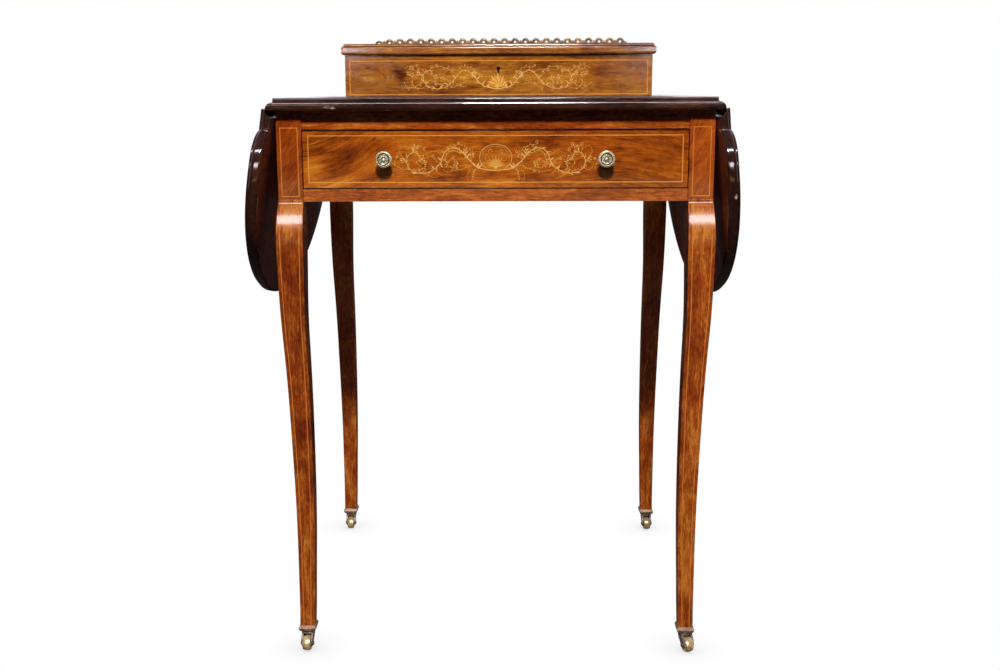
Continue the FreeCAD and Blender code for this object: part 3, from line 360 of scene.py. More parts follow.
# ------------------------------------------------------------------ materials
KING = [(0.0, srgb(72, 24, 5)), (0.22, srgb(110, 43, 7)), (0.42, srgb(148, 68, 12)),
        (0.60, srgb(174, 87, 18)), (0.80, srgb(196, 112, 28)), (1.0, srgb(214, 138, 44))]
BOXV = [(0.0, srgb(74, 32, 12)), (0.25, srgb(116, 60, 22)), (0.48, srgb(150, 88, 32)),
        (0.70, srgb(176, 112, 38)), (0.88, srgb(200, 138, 48)), (1.0, srgb(216, 158, 66))]
ROSE = [(0.0, srgb(60, 16, 5)), (0.28, srgb(104, 36, 9)), (0.52, srgb(146, 60, 14)),
        (0.76, srgb(176, 84, 24)), (1.0, srgb(206, 116, 44))]
LEGS = [(0.0, srgb(54, 15, 5)), (0.28, srgb(98, 34, 8)), (0.52, srgb(134, 54, 13)),
        (0.76, srgb(170, 82, 22)), (1.0, srgb(206, 126, 48))]
DARK = [(0.0, srgb(30, 14, 10)), (0.4, srgb(52, 28, 20)), (0.7, srgb(68, 38, 28)),
        (1.0, srgb(88, 54, 40))]
LEAFD = [(0.0, srgb(26, 11, 8)), (0.4, srgb(46, 22, 16)), (0.7, srgb(62, 31, 22)),
         (1.0, srgb(86, 46, 30))]
SIDE = [(0.0, srgb(44, 14, 6)), (0.4, srgb(84, 32, 12)), (0.7, srgb(116, 50, 18)),
        (1.0, srgb(146, 74, 28))]
UNDER = [(0.0, srgb(58, 20, 8)), (0.4, srgb(92, 36, 14)), (0.7, srgb(116, 48, 20)),
         (1.0, srgb(138, 64, 30))]
OAK = [(0.0, srgb(92, 60, 32)), (0.4, srgb(138, 98, 56)), (0.7, srgb(166, 124, 76)),
       (1.0, srgb(190, 150, 98))]
WORN = srgb(190, 132, 78)

M_DRAWER = wood("drawer_veneer", KING, "X", seed=2.3, bands=190, broad=24, sway=0.010, contrast=0.70,
                lift=0.02, bends=[(-0.235, -0.11, 0.044), (0.16, 0.235, -0.008)],
                blobs=[(-0.168, 0.654, 0.048, 0.0095, -0.22, 22), (-0.176, 0.632, 0.026, 0.007, -0.17),
                       (-0.188, 0.671, 0.022, 0.005, -0.12), (-0.183, 0.664, 0.045, 0.003, 0.18, 24),
                       (-0.222, 0.632, 0.011, 0.010, 0.34), (-0.200, 0.616, 0.030, 0.003, 0.19),
                       (-0.104, 0.662, 0.016, 0.006, 0.11), (-0.117, 0.646, 0.008, 0.006, -0.10),
                       (-0.085, 0.639, 0.009, 0.0045, -0.33), (-0.063, 0.624, 0.014, 0.0045, -0.26),
                       (-0.044, 0.624, 0.011, 0.006, -0.26), (-0.046, 0.671, 0.018, 0.003, -0.24),
                       (-0.052, 0.658, 0.014, 0.004, 0.19), (-0.036, 0.635, 0.014, 0.006, 0.19),
                       (0.0, 0.641, 0.010, 0.006, 0.27), (0.0, 0.628, 0.014, 0.003, -0.19),
                       (0.000, 0.652, 0.030, 0.010, 0.10), (0.044, 0.624, 0.020, 0.004, -0.22),
                       (0.066, 0.667, 0.012, 0.0045, -0.24), (0.036, 0.665, 0.016, 0.0025, -0.17),
                       (0.092, 0.641, 0.010, 0.0028, -0.27), (0.036, 0.642, 0.008, 0.003, -0.19),
                       (0.070, 0.640, 0.012, 0.004, 0.16), (0.152, 0.659, 0.007, 0.006, -0.22),
                       (0.160, 0.669, 0.012, 0.003, -0.22), (0.152, 0.645, 0.007, 0.004, -0.19),
                       (0.184, 0.644, 0.010, 0.003, -0.19), (0.176, 0.632, 0.003, 0.0028, 0.27),
                       (0.190, 0.625, 0.040, 0.006, 0.13), (0.120, 0.617, 0.05, 0.003, 0.13)],
                pores=0.4, rough=(0.30, 0.42), worn=WORN, worn_amount=0.5,
                painted_gap_shade=[(0.6816, 0.0021, 0.98), (0.6107, 0.0014, 0.95)])
M_BOXF = wood("box_veneer", BOXV, "X", seed=6.1, bands=190, broad=26, sway=0.012, contrast=0.72,
              lift=0.02,
              blobs=[(0.002, 0.744, 0.075, 0.013, 0.22), (-0.075, 0.744, 0.045, 0.012, 0.16),
                     (0.085, 0.744, 0.045, 0.012, 0.14), (-0.136, 0.753, 0.010, 0.007, -0.40),
                     (-0.130, 0.745, 0.006, 0.005, -0.26), (-0.160, 0.757, 0.016, 0.003, -0.18),
                     (-0.176, 0.744, 0.014, 0.005, 0.20), (-0.030, 0.733, 0.018, 0.003, -0.24, 18),
                     (-0.085, 0.731, 0.022, 0.003, -0.20, -12), (-0.04, 0.762, 0.035, 0.003, -0.20),
                     (0.055, 0.762, 0.030, 0.004, -0.18), (-0.070, 0.750, 0.008, 0.005, -0.18, 40),
                     (0.140, 0.752, 0.010, 0.006, -0.20), (0.168, 0.746, 0.012, 0.007, 0.12),
                     (0.150, 0.731, 0.030, 0.003, -0.16)],
              knots=[(-0.178, 0.744, 0.030, 0.013, 0.030)],
              pores=0.4, rough=(0.32, 0.44), worn=WORN, worn_amount=0.4,
              painted_gap_shade=[(0.7758, 0.0034, 0.8), (0.7196, 0.0010, 0.7)])
M_RAIL = wood("rail_veneer", ROSE, "X", seed=1.2, bands=230, broad=34, sway=0.007, contrast=0.85,
              lift=0.14, rough=(0.28, 0.40), worn=WORN, worn_amount=0.5,
              painted_gap_shade=[(0.6816, 0.0012, 0.95), (0.6107, 0.0008, 0.9)])
M_BLOCK = wood("block_veneer", ROSE, "Z", tilt=32, seed=4.4, bands=320, broad=46, sway=0.005,
               contrast=0.5, lift=-0.02, rough=(0.28, 0.40), worn=WORN, veins=0.35, olive=0.1,
               weights=(0.16, 0.30, 0.30, 0.24),
               blobs=[(0.252, 0.65, 0.04, 0.06, 0.20)])
# the spots at the knees (z 0.572) are a painted sheen and those low on the legs (z 0.10) painted light from the
# floor; the right legs are also made a little lighter
M_LEG = wood("leg_veneer", LEGS, "Z", seed=3.3, bands=260, broad=34, sway=0.006, contrast=0.85,
             lift=0.08, rough=(0.26, 0.38), coat=1.0, coat_rough=0.13, worn=WORN, worn_amount=0.6,
             bump=0.04, veins=0.45,
             blobs=[(-0.252, 0.572, 0.03, 0.022, 0.50), (0.252, 0.572, 0.03, 0.024, 0.56),
                    (-0.252, 0.505, 0.03, 0.016, -0.06), (0.26, 0.30, 0.05, 0.30, 0.10),
                    (-0.25, 0.10, 0.06, 0.10, 0.18), (0.25, 0.10, 0.06, 0.10, 0.16)])
M_DARKX = wood("dark_polish_x", DARK, "X", seed=5.0, bands=160, broad=20, sway=0.007, contrast=0.9,
               rough=(0.18, 0.30), coat=1.0, coat_rough=0.07, worn=srgb(120, 78, 50),
               worn_amount=0.3, scuffs=0.4, pores=0.3, olive=0.0, veins=0.3, bump=0.02,
               chips=[(-0.200, -0.252, 0.7095, 0.0045, 0.0016), (-0.193, -0.253, 0.7080, 0.003, 0.002)])
M_DARKY = wood("dark_polish_y", LEAFD, "Y", seed=8.0, bands=160, broad=20, sway=0.009, contrast=0.9,
               rough=(0.20, 0.32), coat=1.0, coat_rough=0.09, worn=srgb(120, 78, 50),
               worn_amount=0.35, scuffs=0.3, pores=0.3, olive=0.0, veins=0.3, bump=0.05,
               chips=[(-0.275, -0.288, 0.582, 0.004, 0.007), (0.283, -0.291, 0.605, 0.002, 0.003)])
M_LID = wood("lid_veneer", BOXV, "X", seed=11.0, bands=190, broad=24, sway=0.007, contrast=0.9,
             lift=-0.04, rough=(0.22, 0.34), coat=1.0, coat_rough=0.09, worn=WORN, bump=0.04)
M_SIDE = wood("side_veneer", SIDE, "Y", seed=13.0, bands=190, broad=24, sway=0.008, contrast=1.0,
              rough=(0.3, 0.44), coat=0.6, worn=WORN)
M_BACK = wood("back_veneer", SIDE, "X", seed=15.0, bands=190, broad=24, sway=0.008, contrast=1.0,
              rough=(0.3, 0.44), coat=0.6, worn=WORN)
M_UNDER = wood("leaf_underside", UNDER, "Y", seed=21.0, bands=190, broad=24, sway=0.008, contrast=0.8,
               rough=(0.5, 0.65), coat=0.0, spec=0.15, bump=0.15)
M_OAKX = wood("oak_x", OAK, "X", seed=17.0, bands=150, broad=20, sway=0.006, contrast=0.6,
              pores=0.75, veins=0.25, olive=0.1, rough=(0.55, 0.7), coat=0.0, painted_hollow_shade=0.7, bump=0.3)
M_OAKY = wood("oak_y", OAK, "Y", seed=19.0, bands=150, broad=20, sway=0.006, contrast=0.6,
              pores=0.75, veins=0.25, olive=0.1, rough=(0.55, 0.7), coat=0.0, painted_hollow_shade=0.7, bump=0.3)
M_STRING = inlay("box_string", srgb(222, 148, 62), srgb(178, 102, 34), 0.0)
M_STRINGLEG = inlay("box_string_leg", srgb(206, 124, 52), srgb(150, 74, 26), 2.0)
M_SCROLL = inlay("scroll_wood", srgb(232, 182, 104), srgb(206, 140, 62), 4.0)
M_LEAFINLAY = inlay("leaf_wood", srgb(216, 152, 66), srgb(188, 112, 36), 6.0)
M_PALE = inlay("pale_wood", srgb(226, 172, 88), srgb(206, 140, 60), 8.0)
# a dark inlay for leaf veins, and for lines set just below and to the right of stems, rings and leaves: part
# engraved outline, part painted shadow
M_VEIN_AND_SHADOW = inlay("vein_and_shadow_wood", srgb(122, 62, 14), srgb(92, 42, 8), 9.0)
M_GOLD = inlay("shell_wood", srgb(210, 142, 52), srgb(184, 110, 34), 10.0)
M_BRASS = metal("aged_brass", srgb(196, 168, 112), srgb(124, 98, 56), rough=(0.26, 0.44))
M_KNOB = metal("knob_brass", srgb(222, 210, 180), srgb(156, 138, 98), rough=(0.22, 0.36),
               soil=(34, 26, 12), reach=0.0016, soil_amount=1.0, shine=0.4)
M_GALL = metal("gallery_brass", srgb(146, 112, 62), srgb(72, 50, 24), rough=(0.30, 0.46),
               soil=(30, 20, 6), reach=0.003, soil_amount=1.0, shine=0.5)
M_FORK = metal("fork_metal", srgb(142, 122, 114), srgb(98, 80, 72), rough=(0.34, 0.5),
               soil=(34, 22, 16), reach=0.003, shine=0.25)
M_COLLAR = metal("collar_brass", srgb(150, 118, 96), srgb(104, 76, 60), rough=(0.34, 0.5),
                 soil=(40, 26, 18), reach=0.003, shine=0.25)
M_WHEEL = metal("wheel_brass", srgb(226, 204, 158), srgb(176, 142, 92), rough=(0.22, 0.36),
                soil=(70, 48, 22), soil_amount=0.6, reach=0.002, shine=0.35)
# painted shade: the lock case is near black and the escutcheon dark brown, standing in for the shade inside the
# keyhole
M_LOCK = metal("lock_metal", srgb(16, 12, 9), srgb(8, 6, 4), rough=(0.7, 0.9), soil=(4, 3, 2), shine=0.0)
M_ESC = metal("escutcheon_brass", srgb(74, 42, 20), srgb(38, 20, 9), rough=(0.55, 0.75), shine=0.15)
M_STEEL = metal("dull_steel", srgb(150, 146, 140), srgb(98, 92, 86), rough=(0.34, 0.5),
                soil=(40, 34, 30))


def leather():
    g = Graph("writing_leather")
    p = g.object_coords()
    x, y, z = g.split(p)
    cells = g.voronoi(p, 900.0)
    soft = g.noise(p, 25.0, 4.0, 0.6)
    fine = g.noise(p, 1800.0, 2.0, 0.6)
    col = g.ramp(g.math("ADD", g.math("MULTIPLY", soft, 0.8), g.math("MULTIPLY", fine, 0.2)),
                 [(0.25, srgb(46, 14, 12)), (0.5, srgb(66, 22, 18)), (0.8, srgb(92, 38, 28))])
    # distance in from the panel's edge, for the tooled lines
    dx = g.math("SUBTRACT", 0.222, g.math("ABSOLUTE", x))
    dy = g.math("SUBTRACT", 0.096, g.math("ABSOLUTE", g.math("ADD", y, 0.136)))
    d = g.math("MINIMUM", dx, dy)
    gold = g.math("SUBTRACT", g.span(g.math("ABSOLUTE", g.math("SUBTRACT", d, 0.010)), 0.0007, 0.0004), 0.0)
    blind = g.span(g.math("ABSOLUTE", g.math("SUBTRACT", d, 0.0145)), 0.0016, 0.0006)
    rubbed = g.span(g.noise(p, 60.0, 3.0, 0.6), 0.3, 0.5)
    col = g.mix(g.math("MULTIPLY", blind, 0.5), col, srgb(28, 8, 8))
    gold = g.math("MULTIPLY", gold, rubbed)
    col = g.mix(gold, col, srgb(206, 164, 84))
    h = g.math("SUBTRACT", g.math("ADD", g.math("MULTIPLY", cells, 0.7), fine),
               g.math("MULTIPLY", blind, 2.0))
    nrm = g.bump(h, 0.35, 0.0004)
    g.surface(col, g.span(soft, 0.3, 0.7, 0.42, 0.6), metallic=gold, normal=nrm, coat=0.1)
    return g.mat


M_LEATHER = leather()


# ------------------------------------------------------------------ mesh helpers
def make(name, verts, faces, mats, body, angle=35.0, face_mat=None):
    """A mesh given in millimetres in the row's frame, riding on a body."""
    me = bpy.data.meshes.new(name)
    me.from_pydata([(v[0] * MM, v[1] * MM, v[2] * MM) for v in verts], [], faces)
    for m in (mats if isinstance(mats, (list, tuple)) else [mats]):
        me.materials.append(m)
    if face_mat is not None:
        me.polygons.foreach_set("material_index", face_mat)
    me.validate()
    bm = bmesh.new()
    bm.from_mesh(me)
    bmesh.ops.recalc_face_normals(bm, faces=bm.faces)
    bm.to_mesh(me)
    bm.free()
    me.shade_smooth()
    me.set_sharp_from_angle(angle=math.radians(angle))
    o = bpy.data.objects.new(name, me)
    bpy.context.scene.collection.objects.link(o)
    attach(o, body)
    return o


def arc3(p0, p1, p2, n):
    """n points after p0 along the circle through three points."""
    ax, ay = p0
    bx, by = p1
    cx, cy = p2
    d = 2 * (ax * (by - cy) + bx * (cy - ay) + cx * (ay - by))
    ux = ((ax * ax + ay * ay) * (by - cy) + (bx * bx + by * by) * (cy - ay) + (cx * cx + cy * cy) * (ay - by)) / d
    uy = ((ax * ax + ay * ay) * (cx - bx) + (bx * bx + by * by) * (ax - cx) + (cx * cx + cy * cy) * (bx - ax)) / d
    r = math.hypot(ax - ux, ay - uy)
    a0, a1, a2 = (math.atan2(y - uy, x - ux) for x, y in (p0, p1, p2))
    two = 2 * math.pi
    fwd = (a2 - a0) % two
    if (a1 - a0) % two > fwd:
        fwd -= two
    return [(ux + r * math.cos(a0 + fwd * i / n), uy + r * math.sin(a0 + fwd * i / n))
            for i in range(1, n + 1)]


def smooth_path(pts, step=1.0, closed=False):
    """A Catmull-Rom curve through the points, at about even steps."""
    P = [np.array(p, float) for p in pts]
    n = len(P)
    out = []
    last = n if closed else n - 1
    for i in range(last):
        p1, p2 = P[i], P[(i + 1) % n]
        p0 = P[(i - 1) % n] if (closed or i > 0) else 2 * p1 - p2
        p3 = P[(i + 2) % n] if (closed or i < n - 2) else 2 * p2 - p1
        k = max(2, int(np.linalg.norm(p2 - p1) / step))
        for j in range(k):
            t = j / k
            out.append(0.5 * ((2 * p1) + (-p0 + p2) * t + (2 * p0 - 5 * p1 + 4 * p2 - p3) * t * t
                              + (-p0 + 3 * p1 - 3 * p2 + p3) * t ** 3))
    if not closed:
        out.append(P[-1])
    return out


class Inlay:
    """Collects flat shapes let into a vertical face that looks along -Y."""

    def __init__(self, y, proud=0.05):
        self.y, self.proud = y, proud
        self.sets = {}

    def _add(self, mat, verts, faces, level):
        vs, fs = self.sets.setdefault(mat, ([], []))
        k = len(vs)
        yy = self.y - self.proud * level
        vs.extend([(x, yy, z) for x, z in verts])
        fs.extend([tuple(k + i for i in f) for f in faces])

    def ribbon(self, mat, pts, width, closed=False, level=1.0, taper=(1.0, 1.0)):
        pts = [np.array(p, float) for p in pts]
        n = len(pts)
        verts, faces = [], []
        for i, p in enumerate(pts):
            a = pts[(i - 1) % n] if (closed or i > 0) else p
            b = pts[(i + 1) % n] if (closed or i < n - 1) else p
            t = b - a
            t = t / (np.linalg.norm(t) + 1e-9)
            nn = np.array([-t[1], t[0]])
            f = i / max(1, n - 1)
            if callable(width):
                w = width(f)
            else:
                w = width * (taper[0] + (1 - taper[0]) * min(1, f * 4)) * \
                    (taper[1] + (1 - taper[1]) * min(1, (1 - f) * 4))
            verts += [tuple(p + nn * w / 2), tuple(p - nn * w / 2)]
        last = n if closed else n - 1
        for i in range(last):
            j = (i + 1) % n
            faces.append((2 * i, 2 * i + 1, 2 * j + 1, 2 * j))
        self._add(mat, verts, faces, level)

    def rect(self, mat, x0, x1, z0, z1, w, level=1.0):
        o, i = w / 2, w / 2
        vs = [(x0 - o, z0 - o), (x1 + o, z0 - o), (x1 + o, z1 + o), (x0 - o, z1 + o),
              (x0 + i, z0 + i), (x1 - i, z0 + i), (x1 - i, z1 - i), (x0 + i, z1 - i)]
        fs = [(0, 1, 5, 4), (1, 2, 6, 5), (2, 3, 7, 6), (3, 0, 4, 7)]
        self._add(mat, vs, fs, level)

    def leaf(self, mat, base, angle, length, width, bend=0.25, level=1.3, vein=None):
        """A pointed leaf from its base, bent to one side, with an optional darker vein."""
        a = math.radians(angle)
        d = np.array([math.cos(a), math.sin(a)])
        nn = np.array([-d[1], d[0]])
        p0 = np.array(base, float)
        pts = []
        for i in range(11):
            t = i / 10
            pts.append(p0 + d * length * t + nn * bend * length * t * t)
        self.ribbon(mat, pts, lambda f: width * math.sin(math.pi * min(1.0, f ** 0.75 + 0.02)) + 0.08,
                    level=level)
        if vein:
            self.ribbon(vein, pts[1:9], lambda f: 0.16 * (1.2 - f), level=level + 0.5)

    def dot(self, mat, c, r, level=1.4, n=14):
        vs = [(c[0] + r * math.cos(2 * math.pi * i / n), c[1] + r * math.sin(2 * math.pi * i / n))
              for i in range(n)]
        self._add(mat, vs, [tuple(range(n))], level)

    def spiral(self, mat, c, r0, r1, a0, a1, width, level=1.0, squash=1.0, taper=(1.0, 0.4)):
        n = max(10, int(abs(a1 - a0) / 12))
        pts = []
        for i in range(n + 1):
            t = i / n
            a = math.radians(a0 + (a1 - a0) * t)
            r = r0 + (r1 - r0) * t
            pts.append((c[0] + r * math.cos(a), c[1] + r * math.sin(a) * squash))
        self.ribbon(mat, pts, width, level=level, taper=taper)
        return pts

    def foliage(self, pts, mats, seed, step=3.0, ln=(2.6, 4.8), wd=(0.7, 1.15), lean=48.0, shade=None,
                level=1.3, limits=None):
        """Small leaves on both sides of a stem, with a curling tendril here and there."""
        rnd = random.Random(seed)
        pts = [np.array(q, float) for q in pts]
        run, want, side = 0.0, step * 0.6, 1
        for a, b in zip(pts, pts[1:]):
            d = b - a
            run += float(np.linalg.norm(d))
            if run < want:
                continue
            run = 0.0
            want = step * rnd.uniform(0.7, 1.35)
            side = -side if rnd.random() < 0.8 else side
            ang = math.degrees(math.atan2(d[1], d[0])) + side * (lean + rnd.uniform(-16, 20))
            length = rnd.uniform(*ln)
            tip = b + length * np.array([math.cos(math.radians(ang)), math.sin(math.radians(ang))])
            if limits and not (limits[0] < tip[1] < limits[1]):
                continue
            self.leaf(mats[rnd.randrange(len(mats))], tuple(b), ang, length, rnd.uniform(*wd),
                      -side * rnd.uniform(0.05, 0.35), level=level)
            # a darker copy of the leaf set down and to the right: part engraved outline, part painted shadow
            if shade and rnd.random() < 0.6:
                off = np.array([0.35, -0.45])
                self.leaf(shade, tuple(b + off), ang, length * 0.95, 0.5, -side * 0.2, level=level - 0.5)
            if rnd.random() < 0.22:
                r = rnd.uniform(1.4, 2.2)
                c = b + side * r * 1.2 * np.array([-d[1], d[0]]) / (np.linalg.norm(d) + 1e-9)
                if not limits or limits[0] + r < c[1] < limits[1] - r:
                    a0 = rnd.uniform(0, 360)
                    self.spiral(mats[-1], c, r, 0.4, a0, a0 + side * 400, 0.4, level=level - 0.2)

    def build(self, prefix, body):
        out = []
        for mat, (vs, fs) in self.sets.items():
            out.append(make("%s_%s" % (prefix, mat.name), vs, fs, mat, body, angle=80))
        return out


def mirror_pts(pts, cx, sign):
    """Points given as (distance from the middle, z), set on one side."""
    return [(cx + sign * d, z) for d, z in pts]


# ------------------------------------------------------------------ drawer front: stringing and marquetry
DY = -233.6
dr = Inlay(DY, 0.05)
dr.rect(M_STRING, -227.6, 227.6, 618.3, 674.7, 1.05)
CX = 1.0


def drawer_side(sg):
    def P(*pts):
        return mirror_pts(pts, CX, sg)

    def A(deg):
        """An angle measured outwards from the middle."""
        return deg if sg > 0 else 180 - deg

    # main stem: up from the ring's foot, over the first arch, down and round the outer scroll
    main = smooth_path(P((20.5, 634.6), (28.5, 641.5), (35.5, 648.6), (40.3, 654.2), (45.0, 658.0),
                         (50.6, 659.6), (56.4, 658.9), (61.2, 655.6), (64.2, 650.6), (65.6, 645.6),
                         (68.2, 640.6), (73.2, 635.6), (79.6, 631.6), (86.6, 629.4), (94.2, 629.4),
                         (101.0, 631.6), (106.0, 635.9), (108.4, 641.9), (107.6, 648.2),
                         (104.2, 652.8), (99.6, 654.8), (95.4, 653.6), (93.6, 650.0)), 1.2)
    # a dark line set down and to the right of the stem: part engraved outline, part painted shadow
    dr.ribbon(M_VEIN_AND_SHADOW, [(a + 0.5, b - 0.6) for a, b in main], lambda f: 0.5, level=0.6)
    dr.ribbon(M_SCROLL, main, lambda f: 1.0 - 0.35 * f, level=1.2)
    # a second line inside the first arch, and its inner scroll
    inner = smooth_path(P((44.0, 653.0), (48.4, 656.0), (53.0, 656.4), (57.8, 654.2), (60.6, 649.6),
                          (61.0, 644.0), (58.6, 638.8), (54.0, 636.2), (49.2, 637.0), (46.6, 640.6),
                          (47.4, 644.6), (51.0, 646.4), (54.0, 644.6)), 1.0)
    dr.ribbon(M_LEAFINLAY, inner, lambda f: 0.75 - 0.3 * f, level=1.0)
    # inner scroll of the outer curl
    curl = smooth_path(P((101.0, 634.4), (96.0, 632.4), (90.4, 633.4), (86.8, 637.2), (86.6, 642.2),
                         (90.0, 645.6), (94.4, 644.8), (96.0, 641.0), (93.6, 638.6)), 1.0)
    dr.ribbon(M_LEAFINLAY, curl, lambda f: 0.7 - 0.3 * f, level=1.0)
    # hair-line flourishes outside the scroll and above the arch
    for pts in (((108.4, 643.0), (113.4, 648.6), (116.8, 655.0), (115.0, 661.0), (110.4, 662.4),
                 (108.2, 658.8)),
                ((106.4, 636.0), (112.4, 633.4), (117.0, 636.0), (118.4, 641.0), (115.8, 644.0)),
                ((64.6, 650.0), (70.4, 654.6), (77.0, 656.0), (82.8, 653.6), (84.6, 648.8),
                 (81.4, 645.8)),
                ((73.2, 635.6), (70.0, 629.6), (64.6, 627.0), (58.6, 628.2)),
                ((36.0, 649.0), (30.6, 652.6), (27.6, 657.6), (29.4, 661.6)),
                ((31.0, 634.0), (34.6, 628.6), (35.0, 622.8), (31.6, 620.8)),
                ((86.6, 629.4), (80.4, 625.6), (74.0, 624.0), (69.0, 625.8))):
        dr.ribbon(M_LEAFINLAY, smooth_path(P(*pts), 0.9), lambda f: 0.55 - 0.3 * f, level=0.8)
    # leaves on the stems: (x, z, direction, length, width, bend)
    for d, z, ang, ln, wd, bd in (
            (22.0, 635.6, 150, 8.5, 2.4, -0.25), (22.5, 636.0, 95, 8.0, 2.2, 0.2),
            (24.5, 637.4, 40, 7.5, 2.1, 0.3), (24.0, 634.6, -30, 7.0, 2.0, -0.3),
            (34.5, 647.8, 105, 9.0, 2.0, 0.25), (35.5, 648.6, 60, 8.0, 1.9, -0.2),
            (38.0, 651.6, 120, 8.0, 1.8, 0.2), (39.6, 653.4, 20, 7.0, 1.8, -0.3),
            (46.0, 658.4, 60, 6.0, 1.6, -0.3), (56.0, 659.0, 30, 6.5, 1.7, -0.4),
            (62.0, 654.6, 15, 7.0, 1.7, -0.3), (65.6, 645.0, 20, 7.5, 1.8, 0.3),
            (67.4, 641.8, -100, 8.0, 1.8, -0.3), (75.6, 634.0, 75, 7.5, 1.8, -0.3),
            (80.0, 631.4, -70, 6.0, 1.7, 0.4), (90.0, 629.2, 120, 7.0, 1.8, 0.3),
            (97.0, 630.0, -20, 7.5, 1.8, 0.4), (104.4, 634.0, 30, 7.0, 1.7, 0.3),
            (108.2, 640.6, 55, 7.0, 1.7, 0.3), (107.8, 647.8, 60, 6.5, 1.6, 0.3),
            (101.0, 654.6, 110, 7.5, 1.7, -0.3), (98.4, 654.6, 150, 6.0, 1.6, 0.3),
            (58.8, 639.2, -60, 6.0, 1.5, 0.3), (60.8, 645.6, -20, 5.5, 1.4, 0.3),
            (88.0, 635.4, 200, 5.5, 1.4, 0.3), (92.0, 645.6, 80, 5.5, 1.4, -0.3)):
        dr.leaf(M_SCROLL if ln > 7.2 else M_LEAFINLAY, (CX + sg * d, z), A(ang), ln * 0.82, wd * 0.8,
                bd * sg, level=1.5, vein=M_VEIN_AND_SHADOW if ln > 7.2 else None)
    # sprays of buds
    for d, z, ang in ((36.0, 650.0, 80), (38.0, 652.0, 108), (31.5, 646.0, 118), (94.0, 650.0, 200),
                      (96.5, 655.0, 75), (50.5, 645.0, 250), (91.0, 640.5, 160), (108.5, 644.0, 10)):
        for k, (da, ln) in enumerate(((-24, 6.5), (0, 8.2), (24, 6.2))):
            a = math.radians(A(ang + da))
            s = (CX + sg * d, z)
            e = (s[0] + ln * math.cos(a), s[1] + ln * math.sin(a))
            dr.ribbon(M_LEAFINLAY, [s, ((s[0] + e[0]) / 2, (s[1] + e[1]) / 2), e], 0.4, level=1.1)
            dr.leaf(M_SCROLL, (s[0] + (e[0] - s[0]) * 0.7, s[1] + (e[1] - s[1]) * 0.7), A(ang + da), 2.6, 1.1,
                    0.0, level=1.6)
    lim = (621.5, 672.5)
    dr.foliage(main, (M_SCROLL, M_LEAFINLAY, M_LEAFINLAY), 11, 4.2, (2.8, 5.0), (0.5, 0.8), shade=M_VEIN_AND_SHADOW,
               limits=lim)
    dr.foliage(inner, (M_LEAFINLAY, M_SCROLL), 12, 4.0, (2.0, 3.4), (0.5, 0.75), shade=M_VEIN_AND_SHADOW, limits=lim)
    dr.foliage(curl, (M_LEAFINLAY, M_SCROLL), 13, 4.0, (2.0, 3.4), (0.5, 0.75), shade=M_VEIN_AND_SHADOW, limits=lim)
    for k, pts in enumerate((((108.4, 643.0), (114.0, 647.0), (120.0, 648.0), (124.0, 643.0), (121.0, 638.0)),
                             ((86.0, 656.0), (91.0, 661.0), (98.0, 663.0), (104.0, 661.0), (106.0, 657.0)),
                             ((50.0, 650.0), (56.0, 645.0), (62.0, 640.0), (70.0, 642.0), (76.0, 648.0),
                              (84.0, 650.0)),
                             ((24.0, 652.0), (30.0, 656.0), (34.0, 660.0), (42.0, 663.5), (50.0, 664.0)),
                             ((30.0, 640.0), (36.0, 636.0), (43.0, 634.0), (50.0, 633.0), (57.0, 631.0),
                              (64.0, 633.0)))):
        path = smooth_path(P(*pts), 0.9)
        dr.ribbon(M_LEAFINLAY, path, lambda f: 0.5 - 0.2 * f, level=0.8)
        dr.foliage(path, (M_LEAFINLAY, M_SCROLL), 20 + k, 3.8, (1.8, 3.6), (0.45, 0.75), shade=M_VEIN_AND_SHADOW,
                   limits=lim)
    # bellflower drops under the foot
    x0 = CX + sg * 27.0
    for k in range(4):
        zz = 632.5 - k * 3.1
        dr.leaf(M_LEAFINLAY, (x0 + sg * k * 0.5, zz), -90 - sg * 18, 3.4 - 0.4 * k, 1.3, 0.1, level=1.1)
        dr.leaf(M_LEAFINLAY, (x0 + sg * k * 0.5, zz), -90 + sg * 18, 3.4 - 0.4 * k, 1.3, -0.1, level=1.1)


for sgn in (-1, 1):
    drawer_side(sgn)
ring = [(CX + 19.6 * math.cos(math.radians(a)), 648.2 + 15.8 * math.sin(math.radians(a)))
        for a in range(-58, 239, 6)]
# a dark line set down and to the right of the ring: part engraved outline, part painted shadow
dr.ribbon(M_VEIN_AND_SHADOW, [(a + 0.35, b - 0.55) for a, b in ring], 0.45, level=0.5)
dr.ribbon(M_SCROLL, ring, 0.62, level=1.0)
inner_ring = [(CX + 16.6 * math.cos(math.radians(a)), 648.6 + 13.0 * math.sin(math.radians(a)))
              for a in range(-40, 221, 6)]
dr.ribbon(M_LEAFINLAY, inner_ring, 0.34, level=0.7)
foot = smooth_path([(CX - 24, 637.4), (CX - 17, 634.6), (CX - 8, 633.2), (CX, 632.9), (CX + 8, 633.2),
                    (CX + 17, 634.6), (CX + 24, 637.4)], 1.2)
dr.ribbon(M_SCROLL, foot, 0.95, level=1.25)
# an urn of leaves inside the ring
for k in range(-4, 5):
    dr.leaf(M_LEAFINLAY, (CX, 636.5), 90 + k * 17, 15.5 - abs(k) * 1.0, 2.5, 0.12 * (k / 4.0), level=0.9 + 0.05 * (k + 4))
for sgn in (-1, 1):
    dr.spiral(M_LEAFINLAY, (CX + sgn * 9.5, 647.5), 4.6, 0.8, 90, 90 - sgn * 430, 0.5, level=1.0)
    dr.spiral(M_LEAFINLAY, (CX + sgn * 6.0, 656.0), 3.2, 0.6, 240, 240 + sgn * 380, 0.45, level=1.0)
dr.dot(M_SCROLL, (CX, 636.4), 1.5, level=1.9, n=16)
dr.build("drawer_inlay", "drawer")

# ------------------------------------------------------------------ box front: stringing and marquetry
BX = 2.9
bx = Inlay(-22.0, 0.05)
bx.rect(M_STRING, BX - 204.6, BX + 204.6, 722.6, 768.0, 1.05)
bx_c = 1.2


